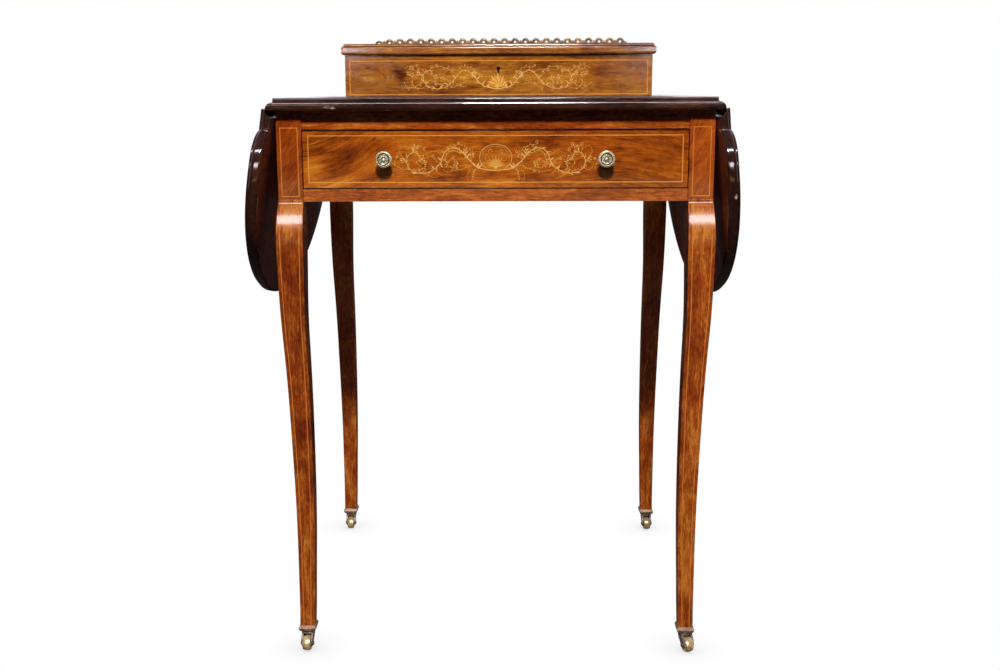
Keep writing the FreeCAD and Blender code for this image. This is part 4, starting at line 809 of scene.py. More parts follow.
def box_side(sg):
    def P(*pts):
        return mirror_pts(pts, bx_c, sg)

    def A(deg):
        return deg if sg > 0 else 180 - deg

    main = smooth_path(P((9.5, 731.6), (17.0, 733.4), (24.0, 738.2), (29.6, 744.6), (34.6, 750.4),
                         (40.2, 754.0), (46.6, 754.4), (51.6, 751.0), (55.6, 746.4), (60.6, 741.0),
                         (66.6, 735.4), (74.0, 731.6), (82.6, 730.2), (91.0, 731.6), (97.4, 735.4),
                         (101.0, 741.0), (101.6, 747.6), (98.8, 752.8), (94.0, 755.0), (89.8, 753.0),
                         (89.4, 748.8)), 1.2)
    lim = (725.5, 766.0)
    # a dark line set down and to the right of the stem: part engraved outline, part painted shadow
    bx.ribbon(M_VEIN_AND_SHADOW, [(a + 0.5, b - 0.65) for a, b in main], lambda f: 0.55, level=0.6)
    bx.ribbon(M_SCROLL, main, lambda f: 0.95 - 0.35 * f, level=1.2)
    bx.foliage(main, (M_SCROLL, M_LEAFINLAY, M_LEAFINLAY), 51, 3.4, (2.0, 4.2), (0.5, 0.85), shade=M_VEIN_AND_SHADOW,
               limits=lim)
    for k, pts in enumerate((((98.8, 752.8), (106.0, 758.0), (113.0, 761.0), (121.0, 761.0), (128.0, 757.0)),
                             ((60.0, 752.0), (68.0, 757.0), (76.0, 760.0), (85.0, 760.0), (92.0, 757.0)),
                             ((20.0, 744.0), (26.0, 750.0), (33.0, 757.0), (42.0, 760.5), (52.0, 760.0)),
                             ((40.0, 742.0), (48.0, 738.0), (56.0, 734.0), (64.0, 731.0)),
                             ((70.0, 738.0), (78.0, 736.0), (86.0, 738.0), (92.0, 744.0)),
                             ((101.0, 741.0), (108.0, 736.0), (116.0, 732.0), (124.0, 733.0),
                              (128.0, 738.0)))):
        path = smooth_path(P(*pts), 0.9)
        bx.ribbon(M_LEAFINLAY, path, lambda f: 0.6 - 0.25 * f, level=0.8)
        bx.foliage(path, (M_LEAFINLAY, M_SCROLL), 60 + k, 3.4, (1.6, 3.6), (0.45, 0.75), shade=M_VEIN_AND_SHADOW,
                   limits=lim)
    for pts in (((32.0, 746.0), (37.4, 748.6), (42.6, 748.0), (46.0, 744.4), (45.4, 739.8),
                 (41.6, 737.6), (38.4, 739.4), (38.6, 742.6)),
                ((66.0, 738.6), (70.0, 743.6), (75.4, 746.4), (81.4, 745.4), (84.0, 741.2),
                 (81.8, 737.4), (77.8, 737.6), (76.8, 740.6)),
                ((101.4, 744.0), (106.6, 750.4), (112.6, 755.2), (119.6, 757.0), (124.6, 754.6),
                 (124.8, 750.2), (121.0, 748.8)),
                ((97.0, 734.6), (104.0, 731.0), (111.0, 731.4), (116.6, 735.2), (117.6, 740.6),
                 (113.6, 743.0)),
                ((50.0, 752.4), (57.0, 755.6), (64.6, 756.0), (71.0, 753.6), (73.0, 749.4)),
                ((60.0, 741.4), (54.6, 736.4), (48.6, 733.2), (42.0, 732.8))):
        bx.ribbon(M_LEAFINLAY, smooth_path(P(*pts), 0.9), lambda f: 0.75 - 0.35 * f, level=0.9)
    for d, z, ang, ln, wd, bd in (
            (11.0, 732.0, 60, 8.0, 2.6, 0.2), (15.0, 733.0, -20, 7.0, 2.2, 0.3),
            (20.0, 735.6, 100, 8.5, 2.6, 0.3), (24.0, 738.6, 20, 8.0, 2.4, -0.3),
            (27.6, 742.4, 110, 9.0, 2.6, 0.3), (31.0, 746.4, 20, 8.0, 2.3, -0.3),
            (35.0, 750.8, 130, 8.0, 2.4, 0.2), (41.0, 754.0, 50, 6.5, 2.0, -0.3),
            (47.0, 754.0, 10, 7.5, 2.2, -0.3), (52.0, 750.4, -20, 7.5, 2.2, -0.2),
            (57.0, 744.8, 60, 8.0, 2.3, -0.3), (61.0, 740.6, -110, 7.0, 2.2, 0.3),
            (67.6, 734.8, 60, 8.5, 2.3, -0.3), (74.0, 731.8, -30, 6.5, 2.0, 0.4),
            (79.0, 730.6, 110, 8.0, 2.2, 0.3), (86.0, 730.6, 60, 8.0, 2.2, -0.3),
            (92.0, 732.2, -10, 8.0, 2.2, 0.4), (98.0, 736.4, 110, 8.5, 2.3, 0.3),
            (100.6, 740.6, 20, 8.0, 2.2, 0.3), (101.6, 747.0, 60, 8.0, 2.2, -0.3),
            (98.0, 753.4, 100, 6.0, 2.0, -0.3), (92.0, 754.6, 160, 7.0, 2.0, 0.3),
            (108.0, 752.4, 80, 6.5, 1.9, -0.3), (114.0, 755.8, 30, 7.5, 2.0, -0.3),
            (120.0, 756.6, 70, 5.0, 1.7, 0.3), (107.0, 731.2, -40, 6.0, 1.8, 0.3),
            (114.0, 733.4, 30, 6.5, 1.8, 0.3), (117.4, 739.0, 90, 6.0, 1.7, 0.3)):
        bx.leaf(M_SCROLL if ln > 7.6 else M_LEAFINLAY, (bx_c + sg * d, z), A(ang), ln * 0.74,
                wd * 0.62, bd * 1.6 * sg, level=1.5, vein=M_VEIN_AND_SHADOW if ln > 7.0 else None)
    for d, z, ang in ((30.0, 746.0, 60), (89.0, 748.0, 200), (105.0, 748.0, 40), (121.0, 750.0, 190),
                      (77.0, 740.0, 110), (118.0, 754.0, 320)):
        for da, ln in ((-26, 5.6), (0, 7.2), (26, 5.4)):
            a = math.radians(A(ang + da))
            s = (bx_c + sg * d, z)
            e = (s[0] + ln * math.cos(a), s[1] + ln * math.sin(a))
            bx.ribbon(M_LEAFINLAY, [s, ((s[0] + e[0]) / 2, (s[1] + e[1]) / 2), e], 0.45, level=1.1)
            bx.leaf(M_SCROLL, (s[0] + (e[0] - s[0]) * 0.7, s[1] + (e[1] - s[1]) * 0.7), A(ang + da), 2.8, 1.3,
                    0.0, level=1.6)


for sgn in (-1, 1):
    box_side(sgn)
# fluted shell under the keyhole, with a round boss and a curved line at its foot
for k in range(-5, 6):
    ang = 90 + k * 15.5
    ln = 20.5 - abs(k) * 1.0
    bx.leaf(M_GOLD if k % 2 else M_PALE, (bx_c + 0.8, 733.4), ang, ln * 0.94, 4.6, 0.0,
            level=1.2 + 0.03 * (k + 5))
bx.dot(M_PALE, (bx_c, 733.6), 2.6, level=1.9, n=20)
base_line = smooth_path([(bx_c - 14, 735.0), (bx_c - 9, 731.6), (bx_c, 730.2), (bx_c + 9, 731.6),
                         (bx_c + 14, 735.0)], 1.0)
bx.ribbon(M_SCROLL, base_line, 1.2, level=1.6)
bx.build("box_inlay", "table")

# ------------------------------------------------------------------ legs
LEG = [(34, 6.5, 18.9), (60, 6.9, 19.5), (100, 7.1, 20.4), (150, 7.2, 21.8), (200, 6.8, 23.2),
       (250, 5.8, 24.5), (300, 4.4, 25.8), (350, 2.8, 27.0), (400, 0.5, 28.4), (440, -1.7, 29.8),
       (480, -3.1, 31.4), (520, -3.8, 32.9), (552, -3.9, 33.3), (574, -2.8, 32.6), (596, 0.0, 30.5)]


def spline_1d(xs, ys):
    """Natural cubic spline through the points."""
    n = len(xs)
    h = np.diff(xs)
    A = np.eye(n)
    r = np.zeros(n)
    for i in range(1, n - 1):
        A[i, i - 1:i + 2] = h[i - 1], 2 * (h[i - 1] + h[i]), h[i]
        r[i] = 6 * ((ys[i + 1] - ys[i]) / h[i] - (ys[i] - ys[i - 1]) / h[i - 1])
    m = np.linalg.solve(A, r)

    def f(x):
        i = int(min(max(np.searchsorted(xs, x) - 1, 0), n - 2))
        a, b = xs[i + 1] - x, x - xs[i]
        return (m[i] * a ** 3 / (6 * h[i]) + m[i + 1] * b ** 3 / (6 * h[i])
                + (ys[i] / h[i] - m[i] * h[i] / 6) * a + (ys[i + 1] / h[i] - m[i + 1] * h[i] / 6) * b)
    return f


LZ = np.array([p[0] for p in LEG], float)
leg_out = spline_1d(LZ, np.array([p[1] for p in LEG], float))
leg_in = spline_1d(LZ, np.array([p[1] + p[2] for p in LEG], float))


def leg_at(z):
    """(outer inset, inner inset) of the leg's faces from the block's outer corner."""
    if z >= 596:
        return 0.0, 30.5
    return float(leg_out(z)), float(leg_in(z))


leg_swell = spline_1d(np.array([34, 300, 400, 440, 480, 520, 552, 574, 596], float),
                      np.array([0, 0, 0.02, 0.25, 0.95, 1.7, 1.95, 1.35, 0], float))


def leg_matrix(sx, sy):
    a = {(1, 1): 0, (-1, 1): 90, (-1, -1): 180, (1, -1): -90}[(sx, sy)]
    return Matrix.Translation((sx * 265.5, sy * 237.0, 0)) @ Matrix.Rotation(math.radians(a), 4, "Z")


def placed(m, pts):
    return [tuple(m @ Vector(p)) for p in pts]


def build_leg(name, sx, sy):
    M = leg_matrix(sx, sy)
    zs = list(np.arange(34.0, 596.0, 6.0)) + [595.2]
    r = 0.6

    fwd_x = sx * sy < 0       # the local axis that looks to the front or the back

    def swell(z):
        return max(0.0, float(leg_swell(z))) if 300 < z < 596 else 0.0

    def ring_at(z, o, i):
        e = swell(z)
        ax, ay, b = -o + (e if fwd_x else 0), -o + (0 if fwd_x else e), -i
        k, t = r * 0.293, r + 0.4
        return [(ax - t, ay, z), (ax - r, ay, z), (ax - k, ay - k, z), (ax, ay - r, z), (ax, ay - t, z),
                (ax, b + t, z), (ax, b + r, z), (ax - k, b + k, z), (ax - r, b, z), (ax - t, b, z),
                (b + t, b, z), (b + r, b, z), (b + k, b + k, z), (b, b + r, z), (b, b + t, z),
                (b, ay - t, z), (b, ay - r, z), (b + k, ay - k, z), (b + r, ay, z), (b + t, ay, z)]
    rings = []
    for z in zs:
        o, i = leg_at(z)
        rings.append(ring_at(z, o, i))
    # a fine ledge where the knee meets the block
    rings.append(ring_at(596.2, -0.35, 30.5))
    rings.append(ring_at(597.0, -0.35, 30.5))
    rings.append(ring_at(597.3, 0.35, 30.5))
    rings.append(ring_at(598.2, 0.35, 30.5))
    rings.append(ring_at(598.4, 0.0, 30.5))
    nblock = len(rings)
    for z in (604, 640, 680, 704.7):
        rings.append(ring_at(z, 0.0, 30.5))
    verts, faces, fm = [], [], []
    for q in rings:
        verts += q
    n = 20
    for j in range(len(rings) - 1):
        for k in range(n):
            faces.append((j * n + k, j * n + (k + 1) % n, (j + 1) * n + (k + 1) % n, (j + 1) * n + k))
            fm.append(0 if j < nblock - 1 else 1)
    faces.append(tuple(range(n - 1, -1, -1)))
    fm.append(0)
    top = (len(rings) - 1) * n
    faces.append(tuple(range(top, top + n)))
    fm.append(1)
    o = make(name + "_body", placed(M, verts), faces, [M_LEG, M_BLOCK], "table",
             angle=32, face_mat=fm)
    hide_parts(name)
    # stringing on the two outward faces, flush with them
    vs, fs = [], []

    def strip(f, za, zb, off, inset_from, which, w=1.05):
        """A vertical string on one face; inset_from is 'o' or 'i' for the edge it follows."""
        k0 = len(vs)
        zz = [za + (zb - za) * t / 70.0 for t in range(71)]
        for z in zz:
            o_, i_ = leg_at(z)
            c = -(o_ + off) if inset_from == "o" else -(i_ - off)
            grow = swell(z) if (which == "x") == fwd_x else 0.0
            side = swell(z) if (which == "y") == fwd_x and inset_from == "o" else 0.0
            lift = -o_ + grow + 0.06
            for e in (-w / 2 + side, w / 2 + side):
                vs.append((c + e, lift, z) if which == "y" else (lift, c + e, z))
        for t in range(70):
            a = k0 + 2 * t
            fs.append((a, a + 1, a + 3, a + 2))

    def patch(c0, c1, z0, z1, which, lift=0.06):
        k0 = len(vs)
        for c, z in ((c0, z0), (c1, z0), (c1, z1), (c0, z1)):
            vs.append((c, lift, z) if which == "y" else (lift, c, z))
        fs.append((k0, k0 + 1, k0 + 2, k0 + 3))

    for which in ("x", "y"):
        strip(None, 35.0, 590.5, 4.6, "o", which)
        strip(None, 35.0, 590.5, 4.9, "i", which)
        # cross string at the knee
        k0 = len(vs)
        for z in (589.7, 590.9):
            o_, i_ = leg_at(z)
            grow = swell(z) if (which == "x") == fwd_x else 0.0
            for c in (-(o_ + 4.0), -(i_ - 4.3)):
                vs.append((c, -o_ + grow + 0.07, z) if which == "y" else (-o_ + grow + 0.07, c, z))
        fs.append((k0, k0 + 1, k0 + 3, k0 + 2))
        # rectangle on the block
        w = 1.05
        a, b, z0, z1 = -4.9, -25.8, 601.6, 684.4
        patch(b - w / 2, a + w / 2, z0 - w / 2, z0 + w / 2, which)
        patch(b - w / 2, a + w / 2, z1 - w / 2, z1 + w / 2, which)
        patch(b - w / 2, b + w / 2, z0 + w / 2, z1 - w / 2, which)
        patch(a - w / 2, a + w / 2, z0 + w / 2, z1 - w / 2, which)
    make(name + "_strings", placed(M, vs), fs, M_STRINGLEG, "table", angle=60)


for sx, side in ((-1, "left"), (1, "right")):
    build_leg("leg_front_" + side, sx, -1)
    build_leg("leg_back_" + side, sx, 1)


# ------------------------------------------------------------------ drop leaves
PX, PZ = 265.8, 706.0


def nose_profile():
    """(inset, height) of the moulded edge, from the upper face down; height 14 is the top."""
    hi = 14.0
    pts = [(5.1, hi)]
    pts += arc3(pts[-1], (4.11, hi - 0.41), (3.7, hi - 1.4), 5)
    pts += [(3.7, hi - 2.1), (4.3, hi - 2.6), (3.5, hi - 3.0)]
    pts += arc3((3.5, hi - 3.0), (0.95, hi - 3.9), (0.22, hi - 5.4), 7)
    pts += [(0.08, hi - 6.2)]
    pts += arc3((0.08, hi - 6.2), (0.0, hi - 8.8), (0.06, hi - 11.6), 4)
    pts += arc3((0.06, hi - 11.6), (0.85, hi - 14.0), (3.0, hi - 15.0), 7)
    return pts


def leaf_outline():
    tab, half = 22.4, 254.0
    sh = [(tab, half), (tab + 2.2, half + 8.5), (tab + 6.0, half + 17.0), (tab + 11.8, half + 25.0),
          (tab + 22.0, half + 33.0), (tab + 37.0, half + 37.8), (80, 293.0)]
    a = 179.0
    bow = [(x, 293.0 * math.sqrt(max(0, 1 - ((x - 80) / a) ** 2)))
           for x in (95, 110, 125, 140, 153, 165, 177, 188, 198, 208, 217, 225, 233, 239, 245, 249,
                     252.5, 255, 257, 258.2)]
    one = sh + bow
    pts = one + [(259.0, 0.0)] + [(x, -y) for x, y in one[::-1]]
    curve = smooth_path(pts, 4.0)
    return curve


def build_leaf(side, sx):
    prof = nose_profile()
    outline = leaf_outline()
    lead = [np.array([s, 254.0]) for s in (0.0, 6.0, 12.0, 18.0)]
    trail = [np.array([s, -254.0]) for s in (18.0, 12.0, 6.0, 0.0)]
    path = lead + outline + trail
    n = len(path)
    # inward normals by the mean of neighbouring edges, mitred
    normals = []
    for i in range(n):
        a = path[i] - path[i - 1] if i > 0 else path[1] - path[0]
        b = path[i + 1] - path[i] if i < n - 1 else path[i] - path[i - 1]
        a = a / np.linalg.norm(a)
        b = b / np.linalg.norm(b)
        na, nb = np.array([a[1], -a[0]]), np.array([b[1], -b[0]])
        m = na + nb
        m = m / np.linalg.norm(m)
        m = m / max(0.45, float(m @ na))
        normals.append(m)
    # the path runs from +y round to -y: inward is to its right
    levels = []
    for j, (d, h) in enumerate(prof):
        levels.append((d, h))
    extra = []
    for (d0, h0), (d1, h1) in zip(levels, levels[1:]):
        extra.append((d0, h0))
        if h0 - h1 > 1.4:
            k = int((h0 - h1) / 0.8)
            for t in range(1, k):
                f = t / k
                extra.append((d0 + (d1 - d0) * f, h0 + (h1 - h0) * f))
    extra.append(levels[-1])
    levels = extra
    verts, faces = [], []
    rings = []
    for d, h in levels:
        s0 = 0.4 if h >= 9.391 else math.sqrt(max(0.0, 9.4 ** 2 - h * h))
        ring_pts = []
        for i in range(n):
            p = path[i] + normals[i] * d
            s = p[0]
            if i < 4:
                s = s0 + (path[4][0] + (normals[4] * d)[0] - s0) * (i / 4.0)
            elif i >= n - 4:
                s = s0 + (path[n - 5][0] + (normals[n - 5] * d)[0] - s0) * ((n - 1 - i) / 4.0)
            ring_pts.append((s, p[1], h))
        rings.append(ring_pts)
    for q in rings:
        verts += q
    for j in range(len(rings) - 1):
        for k in range(n):
            k2 = (k + 1) % n
            faces.append((j * n + k, j * n + k2, (j + 1) * n + k2, (j + 1) * n + k))
    faces.append(tuple(range(n)))
    last = (len(rings) - 1) * n
    faces.append(tuple(range(last + n - 1, last - 1, -1)))
    R = Matrix.Rotation(math.radians(-81.4 if sx < 0 else 84.9), 4, "Y")
    if sx < 0:
        R = R @ Matrix.Rotation(math.pi, 4, "Z")
    M = Matrix.Translation((sx * PX, 0, PZ)) @ R
    fm = [0] * (len(faces) - 1) + [1]
    o = make("leaf_%s_board" % side, placed(M, verts), faces, [M_DARKY, M_UNDER], "leaf_" + side,
             angle=28, face_mat=fm)
    # gains for the hinge flaps
    for sy in (-1, 1):
        bm = bmesh.new()
        bmesh.ops.create_cube(bm, size=1.0)
        for v in bm.verts:
            v.co = Vector((v.co.x * 25.5 + 18.75, v.co.y * 30.0 + sy * 165.0, v.co.z * 2.8 - 1.0))
        me = bpy.data.meshes.new("cutter")
        bm.to_mesh(me)
        bm.free()
        me.transform(Matrix.Scale(MM, 4) @ M)
        c = bpy.data.objects.new("cutter_%s_%d" % (side, sy), me)
        bpy.context.scene.collection.objects.link(c)
        mod = o.modifiers.new("gain", "BOOLEAN")
        mod.operation = "DIFFERENCE"
        mod.object = c
        mod.solver = "EXACT"
        bpy.context.view_layer.update()
        dg = bpy.context.evaluated_depsgraph_get()
        cutmesh = bpy.data.meshes.new_from_object(o.evaluated_get(dg))
        o.modifiers.clear()
        o.data = cutmesh
        bpy.data.objects.remove(c)
    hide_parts("leaf_" + side)
    return o


build_leaf("left", -1)
build_leaf("right", 1)


# ------------------------------------------------------------------ turned knobs
def build_knob(side, sx):
    prof = [(3.0, -23.0), (3.0, 0.0), (7.2, 0.0), (7.2, 0.9), (6.9, 1.6), (6.2, 1.9), (4.6, 2.3),
            (3.9, 3.1), (3.5, 4.4), (3.3, 6.0), (3.3, 7.6), (3.45, 9.2), (3.75, 10.6), (4.4, 12.2),
            (5.4, 13.6), (6.7, 14.8), (8.0, 15.6), (9.0, 16.0), (9.7, 16.5), (10.1, 17.2),
            (10.2, 17.8), (10.05, 18.4), (9.7, 18.9), (9.35, 19.2), (9.1, 19.2), (8.95, 19.25),
            (8.7, 19.7), (8.35, 20.0), (8.0, 20.05), (7.65, 19.9), (7.4, 19.4), (7.3, 18.4),
            (7.1, 17.4), (6.7, 17.1), (6.35, 17.4), (6.2, 18.4), (6.1, 19.2), (5.85, 19.6),
            (5.5, 19.6), (5.2, 19.3), (4.9, 19.2), (4.5, 19.5), (4.0, 19.9), (3.6, 20.1),
            (3.25, 19.9), (3.05, 19.1), (2.8, 18.8), (2.6, 19.3), (2.45, 20.5), (1.7, 21.3),
            (0.8, 21.7), (0.0, 21.8)]
    seg = 160
    verts, faces = [], []
    for r, h in prof[:-1]:
        for k in range(seg):
            a = 2 * math.pi * k / seg
            hh = h
            rr = r
            if 7.3 < r < 8.9 and h > 19:      # beaded rim
                hh = 19.35 + (h - 19.35) * (0.35 + 0.65 * abs(math.sin(a * 20)))
            if 2.5 < r < 5.2 and h > 19:      # petals of the rosette
                hh = h - 0.9 * (1 - abs(math.cos(a * 4))) * math.sin(math.pi * (r - 2.4) / 2.9)
            if r < 2.1 and h > 20:            # a small ribbed boss
                hh = h - 0.12 * (1 - abs(math.cos(a * 6)))
            verts.append((rr * math.cos(a), rr * math.sin(a), hh))
    verts.append((0, 0, prof[-1][1]))
    m = len(prof) - 1
    for j in range(m - 1):
        for k in range(seg):
            k2 = (k + 1) % seg
            faces.append((j * seg + k, j * seg + k2, (j + 1) * seg + k2, (j + 1) * seg + k))
    for k in range(seg):
        faces.append(((m - 1) * seg + k, (m - 1) * seg + (k + 1) % seg, m * seg))
    faces.append(tuple(range(seg - 1, -1, -1)))
    M = Matrix.Translation((sx * 134.0, -233.6, 647.0)) @ Matrix.Rotation(math.radians(90), 4, "X") \
        @ Matrix.Rotation(math.radians(11 * sx), 4, "Z")
    o = make("knob_%s_turned" % side, placed(M, verts), faces, M_KNOB, "drawer", angle=50)
    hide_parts("knob_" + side)


build_knob("left", -1)
build_knob("right", 1)


# ------------------------------------------------------------------ gallery
def torus(cx, cy, cz, R, rr, ry, verts, faces, a0=0.0, a1=360.0, seg=28, sec=10, squash=1.0):
    """A ring standing in the XZ plane; rr and ry are its section's half sizes."""
    k0 = len(verts)
    full = abs(a1 - a0) >= 359.9
    n = seg if full else seg + 1
    for i in range(n):
        a = math.radians(a0 + (a1 - a0) * i / seg)
        for j in range(sec):
            b = 2 * math.pi * j / sec
            r = R + rr * math.cos(b)
            verts.append((cx + r * math.cos(a), cy + ry * math.sin(b), cz + r * math.sin(a) * squash))
    for i in range(seg):
        i2 = (i + 1) % n
        for j in range(sec):
            j2 = (j + 1) % sec
            faces.append((k0 + i * sec + j, k0 + i * sec + j2, k0 + i2 * sec + j2, k0 + i2 * sec + j))
    if not full:
        faces.append(tuple(k0 + j for j in range(sec)))
        faces.append(tuple(k0 + (n - 1) * sec + j for j in range(sec - 1, -1, -1)))


def turned_post(cx, cy, prof, verts, faces, seg=16):
    k0 = len(verts)
    for r, z in prof:
        for k in range(seg):
            a = 2 * math.pi * k / seg
            verts.append((cx + r * math.cos(a), cy + r * math.sin(a), z))
    m = len(prof)
    for j in range(m - 1):
        for k in range(seg):
            k2 = (k + 1) % seg
            faces.append((k0 + j * seg + k, k0 + j * seg + k2, k0 + (j + 1) * seg + k2, k0 + (j + 1) * seg + k))
    faces.append(tuple(k0 + k for k in range(seg - 1, -1, -1)))
    faces.append(tuple(k0 + (m - 1) * seg + k for k in range(seg)))


def build_gallery():
    verts, faces = [], []
    cy = 218.0
    x_mid, pitch, n = BX, 16.4, 24
    x0 = x_mid - (n - 1) / 2.0 * pitch
    # moulded foot rail
    prof = [(-1.2, 791.0), (-1.2, 791.9), (-0.9, 792.3), (-0.95, 792.8), (-0.55, 793.5), (0.55, 793.5),
            (0.95, 792.8), (0.9, 792.3), (1.2, 791.9), (1.2, 791.0)]
    k0 = len(verts)
    for x in (x_mid - 201.3, x_mid + 201.3):
        verts += [(x, cy + d, z) for d, z in prof]
    m = len(prof)
    for j in range(m):
        j2 = (j + 1) % m
        faces.append((k0 + j, k0 + j2, k0 + m + j2, k0 + m + j))
    faces.append(tuple(k0 + j for j in range(m)))
    faces.append(tuple(k0 + m + j for j in range(m - 1, -1, -1)))
    for i in range(n):
        x = x0 + i * pitch
        low = 2.2 if i == 0 else (0.9 if i == 1 else 0.0)
        torus(x, cy, 801.95 - low, 3.95, 2.0, 1.3, verts, faces, squash=0.98 if low < 1 else 0.8)
        turned_post(x, cy, [(1.1, 793.2), (1.2, 793.9), (0.85, 794.7), (0.8, 796.0 - low * 0.5),
                            (1.15, 796.9 - low * 0.5), (1.2, 797.6 - low)], verts, faces)
        # a bud at the crown and a shoulder leaf on each side of the ring
        if low == 0.0:
            turned_post(x, cy, [(0.7, 806.6), (1.0, 807.0), (0.9, 807.5), (0.45, 807.85), (0.1, 807.96)],
                        verts, faces, 12)
        for sg in (-1, 1):
            torus(x + sg * 5.3, cy, 799.4 - low, 2.3, 0.75, 0.95, verts, faces,
                  *((60, 250) if sg < 0 else (-70, 120)), 14, 8)
        if i < n - 1:
            xs = x + pitch / 2
            torus(xs, cy, 799.2, 2.7, 1.6, 1.1, verts, faces, seg=24, sec=8, squash=1.05)
            turned_post(xs, cy, [(0.9, 793.2), (1.05, 793.9), (0.7, 794.6), (0.75, 795.4), (1.05, 796.2)],
                        verts, faces, 12)
            # low swags between the posts
            for sg in (-1, 1):
                torus(xs + sg * pitch / 4, cy, 796.6, 2.5, 0.7, 0.8, verts, faces, 180, 360, 12, 8)
            turned_post(xs, cy, [(0.6, 803.1), (0.95, 803.5), (0.9, 804.0), (0.4, 804.5)], verts, faces, 10)
    # end scrolls: the left one low, the right one a quarter arch down to the rail
    torus(x_mid - 196.2, cy, 796.3, 2.5, 0.85, 0.9, verts, faces)
    torus(x_mid - 192.6, cy, 797.6, 1.7, 0.8, 0.9, verts, faces, seg=20, sec=8)
    torus(x_mid + 192.0, cy, 794.6, 8.2, 1.0, 1.0, verts, faces, 0, 88, 18, 10)
    torus(x_mid + 194.6, cy, 797.0, 2.4, 0.8, 0.9, verts, faces, seg=20, sec=8)
    o = make("gallery_pierced", verts, faces, M_GALL, "lid", angle=50)
    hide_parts("gallery")


build_gallery()

# ------------------------------------------------------------------ casters
CORNERS = {"front_left": (-1, -1, -4.0), "front_right": (1, -1, 18.0),
           "back_left": (-1, 1, 1.0), "back_right": (1, 1, 4.0)}


def extrude_x(verts, faces, pts, x0, x1):
    """A plate with outline pts in (y, z), between two x planes; x0 and x1 may be functions of z."""
    k0 = len(verts)
    n = len(pts)
    for fx in (x0, x1):
        for y, z in pts:
            verts.append((fx(z) if callable(fx) else fx, y, z))
    for j in range(n):
        j2 = (j + 1) % n
        faces.append((k0 + j, k0 + j2, k0 + n + j2, k0 + n + j))
    faces.append(tuple(k0 + j for j in range(n - 1, -1, -1)))
    faces.append(tuple(k0 + n + j for j in range(n)))


def build_caster(key, sx, sy, deg):
    tr, wr = 9.5, 9.8
    M = Matrix.Translation((sx * 249.6, sy * 221.1, 0)) @ Matrix.Rotation(math.radians(deg), 4, "Z")
    verts, faces = [], []
    # crown: a flat plate rounded at the back, square at the front, its edges softened by casting
    outline = [(-7.5, -8.0), (7.5, -8.0), (7.9, -7.6)]
    outline += [(7.9 * math.cos(a), 1.0 + 8.3 * math.sin(a)) for a in np.linspace(0, math.pi, 19)]
    outline += [(-7.9, -7.6)]
    k0 = len(verts)
    n = len(outline)
    levels = ((21.6, 0.97), (22.0, 1.0), (24.0, 1.0), (24.4, 0.975), (24.6, 0.94))
    for zc, sc in levels:
        verts += [(x * sc, y * sc, zc) for x, y in outline]
    for q in range(len(levels) - 1):
        for j in range(n):
            j2 = (j + 1) % n
            faces.append((k0 + q * n + j, k0 + q * n + j2, k0 + (q + 1) * n + j2, k0 + (q + 1) * n + j))
    faces.append(tuple(k0 + j for j in range(n - 1, -1, -1)))
    faces.append(tuple(k0 + (len(levels) - 1) * n + j for j in range(n)))
    # cheeks, tapering inwards and downwards to the axle
    cheek = [(-7.8, 22.2), (3.0, 22.2), (2.3, 18.6), (0.6, 15.6), (-1.9, 12.6), (-4.2, 10.2)]
    cheek += [(-tr + 4.7 * math.cos(a), wr + 4.7 * math.sin(a)) for a in np.linspace(-0.05, -math.pi + 0.2, 12)]
    cheek += [(-14.0, 12.0), (-12.6, 16.6), (-10.0, 20.0)]
    for sg in (-1, 1):
        inner = sg * 5.35

        def outer(z, sg=sg):
            return sg * (7.0 + 0.9 * min(1.0, max(0.0, (z - 8.0) / 13.0)))
        extrude_x(verts, faces, cheek, inner, outer)
    # a web joins the cheeks behind the wheel
    extrude_x(verts, faces, [(1.5, 21.9), (3.0, 21.9), (2.6, 18.6), (1.7, 16.2), (1.0, 14.8), (0.3, 15.0),
                             (0.7, 16.4), (1.1, 18.6)], -5.5, 5.5)
    turned_post(0, 0, [(4.8, 24.5), (4.8, 25.0), (4.3, 25.3), (4.3, 25.7)], verts, faces, 28)
    turned_post(0, 0, [(3.0, 25.6), (3.0, 53.2), (2.5, 53.7)], verts, faces, 24)
    o = make("caster_fork_%s_cast" % key, placed(M, verts), faces, M_FORK, "caster_" + key,
             angle=40)
    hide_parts("caster_fork_" + key)
    # wheel: crowned tread, dished sides with a raised hub
    prof = [(2.05, -5.0), (3.9, -5.0), (4.3, -4.8), (4.5, -4.4), (5.2, -3.9), (6.6, -3.9), (7.4, -4.2),
            (8.0, -4.8), (8.5, -5.0), (8.9, -4.95)]
    prof += arc3((8.9, -4.95), (9.8, 0.0), (8.9, 4.95), 14)
    prof += [(8.5, 5.0), (8.0, 4.8), (7.4, 4.2), (6.6, 3.9), (5.2, 3.9), (4.5, 4.4), (4.3, 4.8), (3.9, 5.0),
             (2.05, 5.0)]
    seg = 72
    v2, f2 = [], []
    for r, h in prof:
        for k in range(seg):
            a = 2 * math.pi * k / seg
            v2.append((h, r * math.cos(a), r * math.sin(a)))
    m = len(prof)
    for j in range(m):
        jj = (j + 1) % m
        for k in range(seg):
            k2 = (k + 1) % seg
            f2.append((j * seg + k, j * seg + k2, jj * seg + k2, jj * seg + k))
    W = M @ Matrix.Translation((0, -tr, wr))
    o = make("caster_wheel_%s_turned" % key, placed(W, v2), f2, M_WHEEL, "wheel_" + key,
             angle=40)
    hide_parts("caster_wheel_" + key)


for key, (sx, sy, deg) in CORNERS.items():
    build_caster(key, sx, sy, deg)

